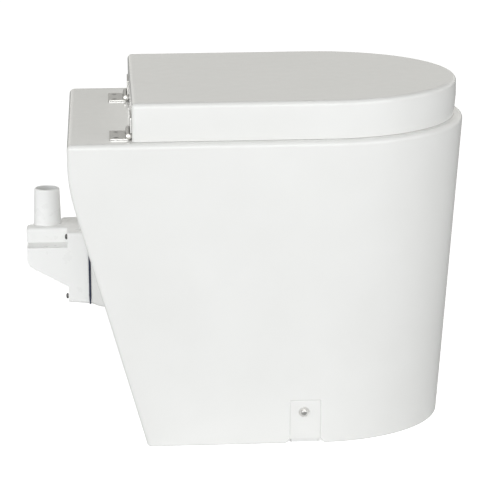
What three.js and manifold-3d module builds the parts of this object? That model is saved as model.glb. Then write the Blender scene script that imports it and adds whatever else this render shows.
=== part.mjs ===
// Compact composting toilet with a urine-diverting bowl, a vent fan and a lid on two butt hinges.
// Millimetres, +Z up, floor at z = 0. Inside this file x runs forward from the rear edge of the
// deck, y runs across, and the finished group is moved so that its origin is the middle of its
// footprint.
import * as THREE from "three";
import { mergeVertices } from "three/addons/utils/BufferGeometryUtils.js";
import Module from "manifold-3d";

const wasm = await Module();
wasm.setup();

// Clearances, tool overrun and facets
const SEAT_GAP = 0.3;
const RUN_GAP = 0.3;
const OVERRUN = 2;
const CORNER_STEPS = 3;
const FRONT_STEPS = 20;
const EDGE_STEPS = 3;
const ROUND_FACETS = 24;
const SMALL_FACETS = 8;
const RIGHT_ANGLE = Math.PI / 2;

// Pedestal: a hollow moulding, wider at the deck than at the floor
const DECK_HEIGHT = 400;
const DECK_FRONT = 509.5;
const DECK_WIDTH = 388.6;
const DECK_STRAIGHT = 322;
const DECK_THICKNESS = 6;
const FOOT_REAR = 93;
const FOOT_FRONT_INSET = 29.3;
const FOOT_SIDE_INSET = 42;
const FOOT_STRAIGHT_INSET = 8;
const FOOT_FLANGE = 18;
const FOOT_FLANGE_THICKNESS = 4;
const REAR_KNEE_DROP = 61;
const REAR_KNEE_RADIUS = 240;
const REAR_KNEE_STEPS = 5;
const HOLLOW_KNEE_STEPS = 3;
const PEDESTAL_WALL = 5;
const PEDESTAL_EDGE = 7;
const PEDESTAL_CORNER = 6;
const LEAST_CORNER_SHARE = 0.3;

// Opening in the deck that the bowl hangs in, by its margins inside the seat
const OPENING_REAR_MARGIN = 33;
const OPENING_FRONT_MARGIN = 25;
const OPENING_SIDE_MARGIN = 28;
const OPENING_CORNER = 30;

// Recess, screw and floor bracket on each side
const RECESS_REAR = 273.6;
const RECESS_WIDTH = 38.9;
const RECESS_HEIGHT = 59.7;
const RECESS_DEPTH = 2;
const RECESS_CORNER = 4;
const RECESS_FLARE = 8;
const RECESS_FLOOR_GAP = 4.5;
const SIDE_SCREW_X = 291.5;
const SIDE_SCREW_Z = 42.6;
const SIDE_SCREW_HEAD = 7.6;
const SIDE_SCREW_HEAD_HEIGHT = 2.8;
const SIDE_SCREW_SHANK = 4.5;
const SIDE_SCREW_LENGTH = 16;
const WASHER_DIAMETER = 13;
const WASHER_THICKNESS = 1.2;
const BRACKET_WIDTH = 36;
const BRACKET_THICKNESS = 3;
const BRACKET_HEIGHT = 56;
const BRACKET_FOOT = 26;
const BRACKET_FLOOR_SCREW = 5;

// Vent collar on the rear wall, with a flat pad that surrounds the fan housing's flange
const COLLAR_SINK = 2.84;
const COLLAR_TOP_MARGIN = 1.5;
const COLLAR_BOTTOM_MARGIN = 2.5;
const COLLAR_SIDE_MARGIN = 0.5;
const COLLAR_WALL = 4;
const COLLAR_CORNER = 4;
const COLLAR_REACH = 40;
const COLLAR_FLARE_ANGLE = (16 * Math.PI) / 180;
const VENT_MARGIN = 3;

// Gasket between the collar and the fan housing, which shows past the collar's pad
const GASKET_THICKNESS = 2.3;
const GASKET_TOP_MARGIN = 0.5;
const GASKET_MARGIN = 1;
const GASKET_CORNER = 4;

// Fan housing: a square flange box with a scoop that turns the air upwards
const HOUSING_DROP = 144;
const HOUSING_DEPTH = 26.3;
const HOUSING_SIDE_MARGIN = 11;
const HOUSING_END_MARGIN = 11.5;
const HOUSING_WALL = 3;
const HOUSING_CORNER = 4;
const SCOOP_DEPTH = 52;
const SCOOP_SHELF_DROP = 20;
const SCOOP_KNEE_DROP = 43.5;
const SCOOP_FOOT_LIFT = 20.6;
const SCOOP_EDGE = 7.5;
const HOUSING_SCREW_MARGIN = 6.65;
const HOUSING_SCREW_HEAD = 7;
const HOUSING_SCREW_HEAD_HEIGHT = 3;
const HOUSING_SCREW_SHANK = 4;
const HOUSING_SCREW_LENGTH = 38;
const HOUSING_BOSS = 9;
const COLLAR_BOSS_DEPTH = 8;

// Outlet cap on the scoop's shelf, with the hose nozzle
const CAP_OVERHANG = 1;
const CAP_HEIGHT = 19;
const CAP_NEAR_Y = -17;
const CAP_MIDDLE_Y = 9;
const CAP_STEP_DEPTH = 9;
const CAP_STEP_Y = 30;
const CAP_NECK_DEPTH = 21;
const CAP_WALL = 2.5;
const CAP_CORNER = 3;
const CAP_EDGE = 1.2;
const SPIGOT_DEPTH = 2.4;
const SPIGOT_WALL = 2;
const SPIGOT_CORNER = 6;
const SPIGOT_MARGIN = 7;
const NOZZLE_SETBACK = 26;
const NOZZLE_Y = 12;
const NOZZLE_BASE = 35.3;
const NOZZLE_TIP = 31.7;
const NOZZLE_HEIGHT = 46.2;
const NOZZLE_WALL = 2;
const NOZZLE_FILLET = 2;
const NOZZLE_SEAT = 39;

// Axial fan inside the flange box
const FAN_SIZE = 70;
const FAN_DEPTH = 15;
const FAN_FRONT_SET = 2.3;
const FAN_RIM = 2;
const FAN_CORNER = 5;
const FAN_HOLE_INSET = 5;
const FAN_STRUT_WIDTH = 4;
const FAN_STRUT_DEPTH = 3;
const FAN_STRUTS = 4;
const FAN_HUB = 30;
const FAN_SHAFT = 3;
const FAN_SCREW_HEAD = 5.5;
const FAN_SCREW_HEAD_HEIGHT = 1.4;
const FAN_SCREW_SHANK = 2.8;
const FAN_SCREW_LENGTH = 18;
const FAN_BOSS = 7.5;
const ROTOR_HUB = 29;
const ROTOR_TIP_GAP = 1;
const ROTOR_DEPTH = 10.6;
const ROTOR_CAP = 1.8;
const ROTOR_END_GAP = 0.6;
const BLADE_COUNT = 7;
const BLADE_CHORD_ROOT = 11.5;
const BLADE_CHORD_TIP = 19;
const BLADE_THICKNESS = 1.6;
const BLADE_CAMBER = 1.5;
const BLADE_PITCH_ROOT = (46 * Math.PI) / 180;
const BLADE_PITCH_TIP = (27 * Math.PI) / 180;
const BLADE_STATIONS = 3;

// Lid: a shallow hollow moulding over the seat, by its margins inside the deck
const LID_REAR = 79.4;
const LID_FRONT_MARGIN = 9.9;
const LID_SIDE_MARGIN = 10.3;
const LID_LIFT = 1.6;
const LID_HEIGHT = 46.4;
const LID_WALL = 3.5;
const LID_EDGE = 6;
const LID_CORNER = 6;
const LID_DRAFT = 2.4;
const LID_DRAFT_HEIGHT = 24;
const LINER_BOTTOM = 28.4;
const LINER_THICKNESS = 3;
const LINER_WALL = 3;

// Butt hinges, placed by how far the middle of their leaves lies inside the lid's sides
const HINGE_NEAR_INSET = 43;
const HINGE_FAR_INSET = 70;
const LEAF_LENGTH = 52;
const LEAF_THICKNESS = 1.5;
const DECK_LEAF_REACH = 23.3;
const LID_LEAF_REACH = 23.2;
const LEAF_SLOT = 0.9;
const BARREL_DIAMETER = 6.8;
const LID_LEAF_OFFSET = 2.1;
const DECK_LEAF_OFFSET = 2.7;
const KNUCKLES = 5;
const PIN_DIAMETER = 3.4;
const PIN_HEAD = 7;
const PIN_HEAD_HEIGHT = 2.6;
const LEAF_SCREW_HEAD = 6.4;
const LEAF_SCREW_SHANK = 3;
const LEAF_SCREW_LENGTH = 10;
const LEAF_SCREW_SPACING = 34.4;
const DECK_SCREW_REACH = 15.1;
const LID_SCREW_REACH = 14.7;

// Seat ring with its buffers and screws, by its margins inside the lid
const SEAT_END_MARGIN = 12.6;
const SEAT_SIDE_MARGIN = 16;
const SEAT_CORNER = 38;
const SEAT_THICKNESS = 19.9;
const SEAT_EDGE = 7;
const SEAT_DISH = 4;
const SEAT_FOOT_EDGE = 1.5;
const HOLE_REAR_MARGIN = 47;
const HOLE_FRONT_MARGIN = 16;
const HOLE_SIDE_MARGIN = 33;
const HOLE_CORNER_SHARE = 0.916;
const SEAT_BUFFER_DIAMETER = 14;
const SEAT_BUFFER_MARGIN = 8;
const SEAT_BUFFER_REAR_INSET = 98;
const SEAT_BUFFER_SPACING = 128;
const LID_BUFFER_DIAMETER = 14;
const LID_BUFFER_OUTSET = 27;
const LID_BUFFER_TURN = Math.PI / 4;
const SEAT_SCREW_INSET = 12;
const SEAT_SCREW_Y = 62;
const SEAT_SCREW_HEAD = 9;
const SEAT_SCREW_SHANK = 4.5;
const SEAT_SCREW_LENGTH = 33;
const SEAT_BOSS = 14;

// Urine-diverting bowl: a flange on the deck and a tub in its opening, whose floor holds a chute
// behind the weir and a basin before it
const BOWL_FLANGE_REACH = 12;
const BOWL_FLANGE = 2.5;
const BOWL_WALL = 2.5;
const BOWL_CLEARANCE = 7;
const TUB_TAPER = 16;
const TUB_DEPTH = 50;
const CHUTE_REAR_MARGIN = 10;
const CHUTE_SIDE_MARGIN = 19;
const CHUTE_LENGTH = 131;
const CHUTE_CORNER = 24;
const CHUTE_TAPER = 7;
const CHUTE_DEPTH = 54;
const BASIN_GAP = 8;
const BASIN_FRONT_MARGIN = 3;
const BASIN_SIDE_MARGIN = 22;
const BASIN_CORNER = 24;
const BASIN_DEPTH = 32;
const SPOUT_PLACE_SHARE = 0.633;
const SPOUT_DIAMETER = 24;
const SPOUT_DEPTH = 36;
const WEIR_THICKNESS = 3;
const WEIR_HEIGHT = 30;

// Containers that stand on the floor inside the pedestal, under the chute and the spout
const SOLIDS_FRONT_MARGIN = 9;
const SOLIDS_SIDE_MARGIN = 16.3;
const CHUTE_DIP = 6.2;
const SOLIDS_SPREAD = 9;
const SOLIDS_CORNER = 26;
const SOLIDS_RIM = 4;
const SOLIDS_RIM_HEIGHT = 6;
const CONTAINER_WALL = 2.5;
const TANK_FRONT_MARGIN = 16.2;
const TANK_SIDE_MARGIN = 32.3;
const TANK_FRONT_LENGTH = 102;
const SPOUT_DIP = 5.2;
const TANK_SPREAD = 8;
const TANK_CORNER = 16;
const TANK_SHOULDER = 14;
const NECK_DIAMETER = 50;
const NECK_HEIGHT = 20;

const zAxis = new THREE.Vector3(0, 0, 1);
const mix = THREE.MathUtils.lerp;

// A closed geometry as a solid that can be cut and joined. Triangles that close up when shared
// vertices merge, as at the pole of a turned profile, are left out.
function solidOf(geometry) {
  const bare = new THREE.BufferGeometry();
  bare.setAttribute("position", geometry.getAttribute("position"));
  bare.setIndex(geometry.index);
  const merged = mergeVertices(bare);
  const corners = merged.index.array;
  const kept = [];
  for (let i = 0; i < corners.length; i += 3) {
    const [a, b, c] = corners.slice(i, i + 3);
    if (a !== b && b !== c && c !== a) kept.push(a, b, c);
  }
  const vertProperties = merged.attributes.position.array;
  const triVerts = new Uint32Array(kept);
  return new wasm.Manifold(new wasm.Mesh({ numProp: 3, vertProperties, triVerts }));
}

function geometryOf(solid) {
  const { vertProperties, triVerts } = solid.getMesh();
  const geometry = new THREE.BufferGeometry();
  geometry.setAttribute("position", new THREE.BufferAttribute(vertProperties, 3));
  geometry.setIndex(new THREE.BufferAttribute(triVerts, 1));
  geometry.computeVertexNormals();
  return geometry;
}

const joined = (...solids) => solids.reduce((a, b) => a.add(b));
const cut = (solid, ...tools) => tools.reduce((a, b) => a.subtract(b), solid);

// A box between two values on each axis.
function block([x0, x1], [y0, y1], [z0, z1]) {
  const geometry = new THREE.BoxGeometry(x1 - x0, y1 - y0, z1 - z0);
  return solidOf(geometry.translate((x0 + x1) / 2, (y0 + y1) / 2, (z0 + z1) / 2));
}

// A round bar between two points.
function bar(diameter, from, to, facets = ROUND_FACETS) {
  const start = new THREE.Vector3(...from);
  const along = new THREE.Vector3(...to).sub(start);
  const geometry = new THREE.CylinderGeometry(diameter / 2, diameter / 2, along.length(), facets);
  geometry.rotateX(RIGHT_ANGLE);
  geometry.translate(0, 0, along.length() / 2);
  geometry.applyQuaternion(
    new THREE.Quaternion().setFromUnitVectors(zAxis, along.clone().normalize()),
  );
  return solidOf(geometry.translate(start.x, start.y, start.z));
}

// A profile of [radius, height] points turned about +Z.
function turned(profile, facets = SMALL_FACETS) {
  const points = profile.map(([radius, height]) => new THREE.Vector2(radius, height));
  return solidOf(new THREE.LatheGeometry(points, facets).rotateX(RIGHT_ANGLE));
}

// A closed skin over rings of Vector3 with equal counts, each ring counter-clockwise as seen
// from the last ring.
function loft(rings) {
  const count = rings[0].length;
  const positions = rings.flat().flatMap((point) => point.toArray());
  const faces = [];
  for (let level = 0; level + 1 < rings.length; level++) {
    for (let i = 0; i < count; i++) {
      const a = level * count + i;
      const b = level * count + ((i + 1) % count);
      faces.push(a, b, b + count, a, b + count, a + count);
    }
  }
  const top = (rings.length - 1) * count;
  for (let i = 1; i + 1 < count; i++) {
    faces.push(0, i + 1, i);
    faces.push(top, top + i, top + i + 1);
  }
  const geometry = new THREE.BufferGeometry();
  geometry.setAttribute("position", new THREE.Float32BufferAttribute(positions, 3));
  geometry.setIndex(faces);
  return solidOf(geometry);
}

// A closed loop of equal sections, as a ring-shaped solid. The loop runs counter-clockwise from
// above and each section starts outside at the bottom and goes over the top.
function ringLoft(sections) {
  const count = sections[0].length;
  const positions = sections.flat().flatMap((point) => point.toArray());
  const faces = [];
  sections.forEach((section, station) => {
    const next = (station + 1) % sections.length;
    for (let i = 0; i < count; i++) {
      const a = station * count + i;
      const b = station * count + ((i + 1) % count);
      const c = next * count + ((i + 1) % count);
      const d = next * count + i;
      faces.push(a, c, b, a, d, c);
    }
  });
  const geometry = new THREE.BufferGeometry();
  geometry.setAttribute("position", new THREE.Float32BufferAttribute(positions, 3));
  geometry.setIndex(faces);
  return solidOf(geometry);
}

// The plan outline that every moulding here shares: a straight rear edge with rounded corners,
// straight sides and a half-ellipse in front, counter-clockwise from the rear near corner.
function planRing({ rear, front, width, straight, corner }, inset, z) {
  const radius = Math.max(corner - inset, corner * LEAST_CORNER_SHARE);
  const half = width / 2 - inset;
  const back = rear + inset;
  const reach = front - inset - straight;
  const ring = [];
  for (let i = 0; i <= CORNER_STEPS; i++) {
    const turn = 2 * RIGHT_ANGLE + (RIGHT_ANGLE * i) / CORNER_STEPS;
    const x = back + radius + radius * Math.cos(turn);
    ring.push(new THREE.Vector3(x, -half + radius + radius * Math.sin(turn), z));
  }
  for (let i = 0; i <= FRONT_STEPS; i++) {
    const turn = -RIGHT_ANGLE + (2 * RIGHT_ANGLE * i) / FRONT_STEPS;
    ring.push(new THREE.Vector3(straight + reach * Math.cos(turn), half * Math.sin(turn), z));
  }
  for (let i = 0; i <= CORNER_STEPS; i++) {
    const turn = RIGHT_ANGLE + (RIGHT_ANGLE * i) / CORNER_STEPS;
    const x = back + radius + radius * Math.cos(turn);
    ring.push(new THREE.Vector3(x, half - radius + radius * Math.sin(turn), z));
  }
  return ring;
}

// A straight or tapered block with that outline.
const planBlock = (plan, inset, z0, z1, topInset = inset) =>
  loft([planRing(plan, inset, z0), planRing(plan, topInset, z1)]);

// Points of a rounded rectangle, counter-clockwise.
function roundedRectangle([u0, u1], [v0, v1], radius) {
  const points = [];
  const corners = [
    [u1 - radius, v0 + radius, 3],
    [u1 - radius, v1 - radius, 0],
    [u0 + radius, v1 - radius, 1],
    [u0 + radius, v0 + radius, 2],
  ];
  for (const [u, v, quarter] of corners) {
    for (let i = 0; i <= CORNER_STEPS; i++) {
      const turn = RIGHT_ANGLE * (quarter + i / CORNER_STEPS);
      points.push([u + radius * Math.cos(turn), v + radius * Math.sin(turn)]);
    }
  }
  return points;
}

// Outlines pushed along one axis: a plan along z, a side view along y, a cross-section along x.
function pushed(points, depth, basis, offset) {
  const shape = new THREE.Shape(points.map(([u, v]) => new THREE.Vector2(u, v)));
  const geometry = new THREE.ExtrudeGeometry(shape, { depth, bevelEnabled: false });
  geometry.applyMatrix4(new THREE.Matrix4().makeBasis(...basis));
  return solidOf(geometry.translate(...offset));
}
const axes = [new THREE.Vector3(1, 0, 0), new THREE.Vector3(0, 1, 0), zAxis];
const planPushed = (points, z0, z1) => pushed(points, z1 - z0, axes, [0, 0, z0]);
const sidePushed = (points, y0, y1) =>
  pushed(points, y1 - y0, [axes[0], axes[2], axes[1].clone().negate()], [0, y1, 0]);
const sectionPushed = (points, x0, x1) =>
  pushed(points, x1 - x0, [axes[1], axes[2], axes[0]], [x0, 0, 0]);

// A polygon whose corners are rounded where a radius is given, as [u, v, radius].
function roundedPolygon(corners) {
  const points = [];
  corners.forEach(([u, v, radius], i) => {
    if (!radius) {
      points.push([u, v]);
      return;
    }
    const here = new THREE.Vector2(u, v);
    const last = corners[(i + corners.length - 1) % corners.length];
    const next = corners[(i + 1) % corners.length];
    const back = new THREE.Vector2(last[0], last[1]).sub(here).normalize();
    const ahead = new THREE.Vector2(next[0], next[1]).sub(here).normalize();
    const half = Math.acos(THREE.MathUtils.clamp(back.dot(ahead), -1, 1)) / 2;
    const run = radius / Math.tan(half);
    const start = here.clone().addScaledVector(back, run);
    const end = here.clone().addScaledVector(ahead, run);
    const arc = new THREE.QuadraticBezierCurve(start, here, end);
    for (const point of arc.getPoints(CORNER_STEPS)) points.push([point.x, point.y]);
  });
  return points;
}

// Screws stand along +Z, with the head's seat at z = 0 and the shank below it.
function panScrew(head, headHeight, shank, length) {
  const tip = shank / 4;
  return turned([
    [0, -length],
    [shank / 2 - tip, -length],
    [shank / 2, tip - length],
    [shank / 2, 0],
    [head / 2, 0],
    [head / 2, headHeight / 2],
    [head / 3, headHeight - headHeight / 8],
    [0, headHeight],
  ]);
}

function countersunkScrew(head, shank, length) {
  const tip = shank / 4;
  return turned([
    [0, -length],
    [shank / 2 - tip, -length],
    [shank / 2, tip - length],
    [shank / 2, (shank - head) / 2],
    [head / 2, 0],
    [0, 0],
  ]);
}

// The hole for a countersunk screw, with its clearance, along +Z.
const countersunkHole = (head, shank, length) =>
  turned([
    [0, -length],
    [shank / 2 + RUN_GAP, -length],
    [shank / 2 + RUN_GAP, (shank - head) / 2],
    [head / 2 + RUN_GAP, 0],
    [head / 2 + RUN_GAP, OVERRUN],
    [0, OVERRUN],
  ]);

// Moves a solid from the origin to a place, with its +Z along a direction.
function moved(solid, place, direction = [0, 0, 1]) {
  const turn = new THREE.Quaternion().setFromUnitVectors(zAxis, new THREE.Vector3(...direction));
  const geometry = geometryOf(solid).applyQuaternion(turn);
  return solidOf(geometry.translate(...place));
}

function material(color, roughness, metalness = 0) {
  return () => new THREE.MeshStandardMaterial({ color, roughness, metalness });
}
const whiteShell = material(0xf1f0ec, 0.28);
const whiteInner = material(0xe9e9e6, 0.35);
const greyPlastic = material(0x8f9397, 0.45);
const naturalTank = material(0xe6e8e3, 0.4);
const fanBlack = material(0x1b1c1e, 0.5);
const steel = material(0xb4b6b8, 0.28, 1);
const zincSteel = material(0x9fa3a6, 0.4, 1);
const softRubber = material(0xd9d9d5, 0.75);
const gasketRubber = material(0x23283a, 0.7);

const toilet = new THREE.Group();
const assembly = new THREE.Group();
toilet.add(assembly);

// Adds one named piece to a group, at a place and with its +Z along a direction.
function piece(name, solid, finish, group = assembly, place = [0, 0, 0], direction = [0, 0, 1]) {
  const mesh = new THREE.Mesh(geometryOf(solid), finish());
  mesh.name = name;
  mesh.position.set(...place);
  mesh.quaternion.setFromUnitVectors(zAxis, new THREE.Vector3(...direction));
  group.add(mesh);
  return mesh;
}

const sides = [
  ["near", -1],
  ["far", 1],
];

// Rear wall: it leans in towards the floor and turns upright through an arc below the deck.
const kneeHeight = DECK_HEIGHT - REAR_KNEE_DROP;
const rearLean = Math.atan(FOOT_REAR / kneeHeight);
const kneeRun = REAR_KNEE_RADIUS * Math.tan(rearLean / 2);
const kneeStart = kneeHeight - kneeRun * Math.cos(rearLean);
const kneeEnd = kneeHeight + kneeRun;
const footWidth = DECK_WIDTH - 2 * FOOT_SIDE_INSET;
const footFront = DECK_FRONT - FOOT_FRONT_INSET;

function rearFace(z) {
  if (z <= kneeStart) return FOOT_REAR - z * Math.tan(rearLean);
  if (z >= kneeEnd) return 0;
  return REAR_KNEE_RADIUS - Math.sqrt(REAR_KNEE_RADIUS ** 2 - (kneeEnd - z) ** 2);
}

function pedestalRing(z, inset) {
  const share = z / DECK_HEIGHT;
  const plan = {
    rear: rearFace(z),
    front: mix(footFront, DECK_FRONT, share),
    width: mix(footWidth, DECK_WIDTH, share),
    straight: DECK_STRAIGHT - FOOT_STRAIGHT_INSET * (1 - share),
    corner: PEDESTAL_CORNER,
  };
  return planRing(plan, inset, z);
}

// Heights and insets up the outer skin: floor edge, rear knee, deck edge.
function pedestalLevels() {
  const levels = [];
  for (let i = 0; i <= EDGE_STEPS; i++) {
    const turn = (RIGHT_ANGLE * i) / EDGE_STEPS;
    const rise = PEDESTAL_EDGE * (1 - Math.cos(turn));
    levels.push([rise, PEDESTAL_EDGE * (1 - Math.sin(turn))]);
  }
  for (let i = 0; i <= REAR_KNEE_STEPS; i++) {
    levels.push([mix(kneeStart, kneeEnd, i / REAR_KNEE_STEPS), 0]);
  }
  for (let i = 0; i <= EDGE_STEPS; i++) {
    const turn = (RIGHT_ANGLE * i) / EDGE_STEPS;
    const drop = PEDESTAL_EDGE * (1 - Math.sin(turn));
    levels.push([DECK_HEIGHT - drop, PEDESTAL_EDGE * (1 - Math.cos(turn))]);
  }
  return levels;
}

const ceiling = DECK_HEIGHT - DECK_THICKNESS;

// Plans of the lid, the seat, the deck's opening and the seat's hole, each inside the last
const lidPlan = {
  rear: LID_REAR,
  front: DECK_FRONT - LID_FRONT_MARGIN,
  width: DECK_WIDTH - 2 * LID_SIDE_MARGIN,
  straight: DECK_STRAIGHT,
  corner: LID_CORNER,
};
const seatPlan = {
  rear: lidPlan.rear + SEAT_END_MARGIN,
  front: lidPlan.front - SEAT_END_MARGIN,
  width: lidPlan.width - 2 * SEAT_SIDE_MARGIN,
  straight: DECK_STRAIGHT,
  corner: SEAT_CORNER,
};
const deckOpening = {
  rear: seatPlan.rear + OPENING_REAR_MARGIN,
  front: seatPlan.front - OPENING_FRONT_MARGIN,
  width: seatPlan.width - 2 * OPENING_SIDE_MARGIN,
  straight: DECK_STRAIGHT,
  corner: OPENING_CORNER,
};
const holeWidth = deckOpening.width - 2 * HOLE_SIDE_MARGIN;
const holePlan = {
  rear: deckOpening.rear + HOLE_REAR_MARGIN,
  front: deckOpening.front - HOLE_FRONT_MARGIN,
  width: holeWidth,
  straight: DECK_STRAIGHT - HOLE_FRONT_MARGIN,
  corner: (HOLE_CORNER_SHARE * holeWidth) / 2,
};

// Half-width of the side wall's outer face on its straight stretch.
const sideFace = (z) => mix(footWidth, DECK_WIDTH, z / DECK_HEIGHT) / 2;
const sideLean = Math.atan(FOOT_SIDE_INSET / DECK_HEIGHT);

// A slab along the side wall between two depths behind its outer face.
function sideSlab(side, [depth0, depth1], [z0, z1], [x0, x1]) {
  const points = [
    [sideFace(z0) - depth0, z0],
    [sideFace(z0) - depth1, z0],
    [sideFace(z1) - depth1, z1],
    [sideFace(z1) - depth0, z1],
  ].map(([y, z]) => [side * y, z]);
  return sectionPushed(side > 0 ? points.reverse() : points, x0, x1);
}

const recessFront = RECESS_REAR + RECESS_WIDTH;

// Side view of an opening at the floor, whose lower corners flare out, up to a height. The
// corner arcs end there, and the points over them close the top.
function flaredOutline(height, top = []) {
  const limit = Math.acos(Math.max(1 - height / RECESS_FLARE, 0));
  const flare = (x, sign) => {
    const points = [];
    for (let i = 0; i <= CORNER_STEPS; i++) {
      const turn = (limit * i) / CORNER_STEPS;
      const across = RECESS_FLARE * (1 - Math.sin(turn));
      points.push([x + sign * across, RECESS_FLARE * (1 - Math.cos(turn))]);
    }
    return points;
  };
  return [
    [recessFront + RECESS_FLARE, -OVERRUN],
    ...flare(recessFront, 1),
    ...top,
    ...flare(RECESS_REAR, -1).reverse(),
    [RECESS_REAR - RECESS_FLARE, -OVERRUN],
  ];
}

function throughSide(side, outline, depth) {
  const reach = [sideFace(0) - depth, sideFace(DECK_HEIGHT)];
  const view = side < 0 ? [-reach[1], -reach[0]] : reach;
  return sidePushed(outline, ...view);
}

// Recess round a side screw, open at the floor.
function sideRecess(side) {
  const top = roundedPolygon([
    [recessFront, RECESS_FLARE],
    [recessFront, RECESS_HEIGHT, RECESS_CORNER],
    [RECESS_REAR, RECESS_HEIGHT, RECESS_CORNER],
    [RECESS_REAR, RECESS_FLARE],
  ]);
  const outline = flaredOutline(RECESS_HEIGHT, top.slice(1, -1));
  const slab = sideSlab(
    side,
    [-PEDESTAL_EDGE, RECESS_DEPTH],
    [-OVERRUN, RECESS_HEIGHT + OVERRUN],
    [RECESS_REAR - 2 * RECESS_FLARE, recessFront + 2 * RECESS_FLARE],
  );
  return throughSide(side, outline, PEDESTAL_WALL).intersect(slab);
}

// The wall stands clear of the floor under each recess, so that the bracket's foot passes.
const bracketSlot = (side) =>
  throughSide(side, flaredOutline(RECESS_FLOOR_GAP), FOOT_FLANGE + OVERRUN);

const outwards = (side) => [0, side * Math.cos(sideLean), -Math.sin(sideLean)];

// A point beside the side screw, at a depth behind the wall's outer face.
function sideScrewPlace(side, depth) {
  const [, ny, nz] = outwards(side);
  const y = side * sideFace(SIDE_SCREW_Z);
  return [SIDE_SCREW_X, y - depth * ny, SIDE_SCREW_Z - depth * nz];
}

function sideScrewHole(side) {
  const from = sideScrewPlace(side, -OVERRUN);
  const to = sideScrewPlace(side, 2 * PEDESTAL_WALL);
  return bar(SIDE_SCREW_SHANK + 2 * RUN_GAP, from, to, SMALL_FACETS);
}

// Vent train, forwards from the housing to the collar: the fan's size sets the housing's, and
// the housing's flange sets the collar's pad and the gasket.
const housingWidth = FAN_SIZE + 2 * HOUSING_SIDE_MARGIN;
const housingTop = DECK_HEIGHT - HOUSING_DROP;
const housingBottom = housingTop - FAN_SIZE - 2 * HOUSING_END_MARGIN;
const housingMiddle = (housingBottom + housingTop) / 2;
const collarTop = housingTop + COLLAR_TOP_MARGIN;
const collarBottom = housingBottom - COLLAR_BOTTOM_MARGIN;
const collarWidth = housingWidth + 2 * COLLAR_SIDE_MARGIN;
const collarFace = rearFace(collarTop) + COLLAR_SINK;
const gasketFront = collarFace - SEAT_GAP;
const gasketRear = gasketFront - GASKET_THICKNESS;
const gasketWidth = collarWidth + 2 * GASKET_MARGIN;
const gasketHeight = [collarBottom - GASKET_MARGIN, collarTop + GASKET_TOP_MARGIN];
const housingFront = gasketRear - SEAT_GAP;
const housingRear = housingFront - HOUSING_DEPTH;
const ventBore = FAN_SIZE - 2 * VENT_MARGIN;

// Collar sections across x, wider towards the wall, except for the top edge, which runs level.
function collarRing(x, inset) {
  const spread = (x - collarFace) * Math.tan(COLLAR_FLARE_ANGLE);
  const half = collarWidth / 2 + spread - inset;
  const bottom = collarBottom - spread + inset;
  const outline = roundedRectangle([-half, half], [bottom, collarTop - inset], COLLAR_CORNER);
  return outline.map(([y, z]) => new THREE.Vector3(x, y, z));
}

// Places of the four housing screws around the middle of the pad, as [y, z].
const screwCorners = (spacing, middle) =>
  [
    [-1, 1],
    [1, 1],
    [1, -1],
    [-1, -1],
  ].map(([across, up]) => [(across * spacing) / 2, middle + (up * spacing) / 2]);
const housingScrews = screwCorners(housingWidth - 2 * HOUSING_SCREW_MARGIN, housingMiddle);
const fanScrews = screwCorners(FAN_SIZE - 2 * FAN_HOLE_INSET, housingMiddle);

// The collar's inner end follows the slope of the rear wall, one pad thickness behind its face.
function collar() {
  const end = collarFace + COLLAR_REACH;
  const body = loft([collarRing(collarFace, 0), collarRing(end, 0)]);
  const hollow = loft([
    collarRing(collarFace + COLLAR_WALL, COLLAR_WALL),
    collarRing(end + OVERRUN, COLLAR_WALL),
  ]);
  const innerX = (z) => collarFace + COLLAR_WALL + (collarTop - z) * Math.tan(rearLean);
  const bounds = sidePushed(
    [
      [collarFace, collarBottom - COLLAR_REACH],
      [innerX(collarBottom - COLLAR_REACH), collarBottom - COLLAR_REACH],
      [innerX(collarTop), collarTop],
      [collarFace, collarTop],
    ],
    -collarWidth,
    collarWidth,
  );
  const face = collarFace + COLLAR_WALL / 2;
  const bosses = housingScrews.map(([y, z]) =>
    bar(HOUSING_BOSS, [face, y, z], [face + COLLAR_BOSS_DEPTH, y, z], SMALL_FACETS),
  );
  return joined(cut(body, hollow).intersect(bounds), ...bosses);
}

// Pad for the gasket, sunk where the leaning wall comes forward of its face.
function gasketPocket() {
  const half = gasketWidth / 2 + 2 * SEAT_GAP;
  const height = [gasketHeight[0] - 2 * SEAT_GAP, gasketHeight[1] + 2 * SEAT_GAP];
  return block([-collarFace, collarFace], [-half, half], height);
}

// Hinge axis, from the seats of the two leaves
const hingeX = LID_REAR - SEAT_GAP - LEAF_THICKNESS - LID_LEAF_OFFSET;
const hingeZ = DECK_HEIGHT + SEAT_GAP + LEAF_THICKNESS + DECK_LEAF_OFFSET;
const hinges = [
  ["near", HINGE_NEAR_INSET - lidPlan.width / 2],
  ["far", lidPlan.width / 2 - HINGE_FAR_INSET],
];
const seatScrewX = seatPlan.rear + SEAT_SCREW_INSET;
const leafScrewYs = [-LEAF_SCREW_SPACING / 2, LEAF_SCREW_SPACING / 2];
const pilotHole = LEAF_SCREW_SHANK + 2 * RUN_GAP;

function deckHoles() {
  const holes = [];
  for (const [, middle] of hinges) {
    for (const y of leafScrewYs) {
      const x = hingeX - DECK_SCREW_REACH;
      const from = [x, middle + y, ceiling - OVERRUN];
      holes.push(bar(pilotHole, from, [x, middle + y, DECK_HEIGHT + OVERRUN], SMALL_FACETS));
    }
  }
  for (const [, side] of sides) {
    const y = side * SEAT_SCREW_Y;
    const from = [seatScrewX, y, ceiling - OVERRUN];
    const to = [seatScrewX, y, DECK_HEIGHT + OVERRUN];
    holes.push(bar(SEAT_SCREW_SHANK + 2 * RUN_GAP, from, to, SMALL_FACETS));
  }
  return holes;
}

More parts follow.
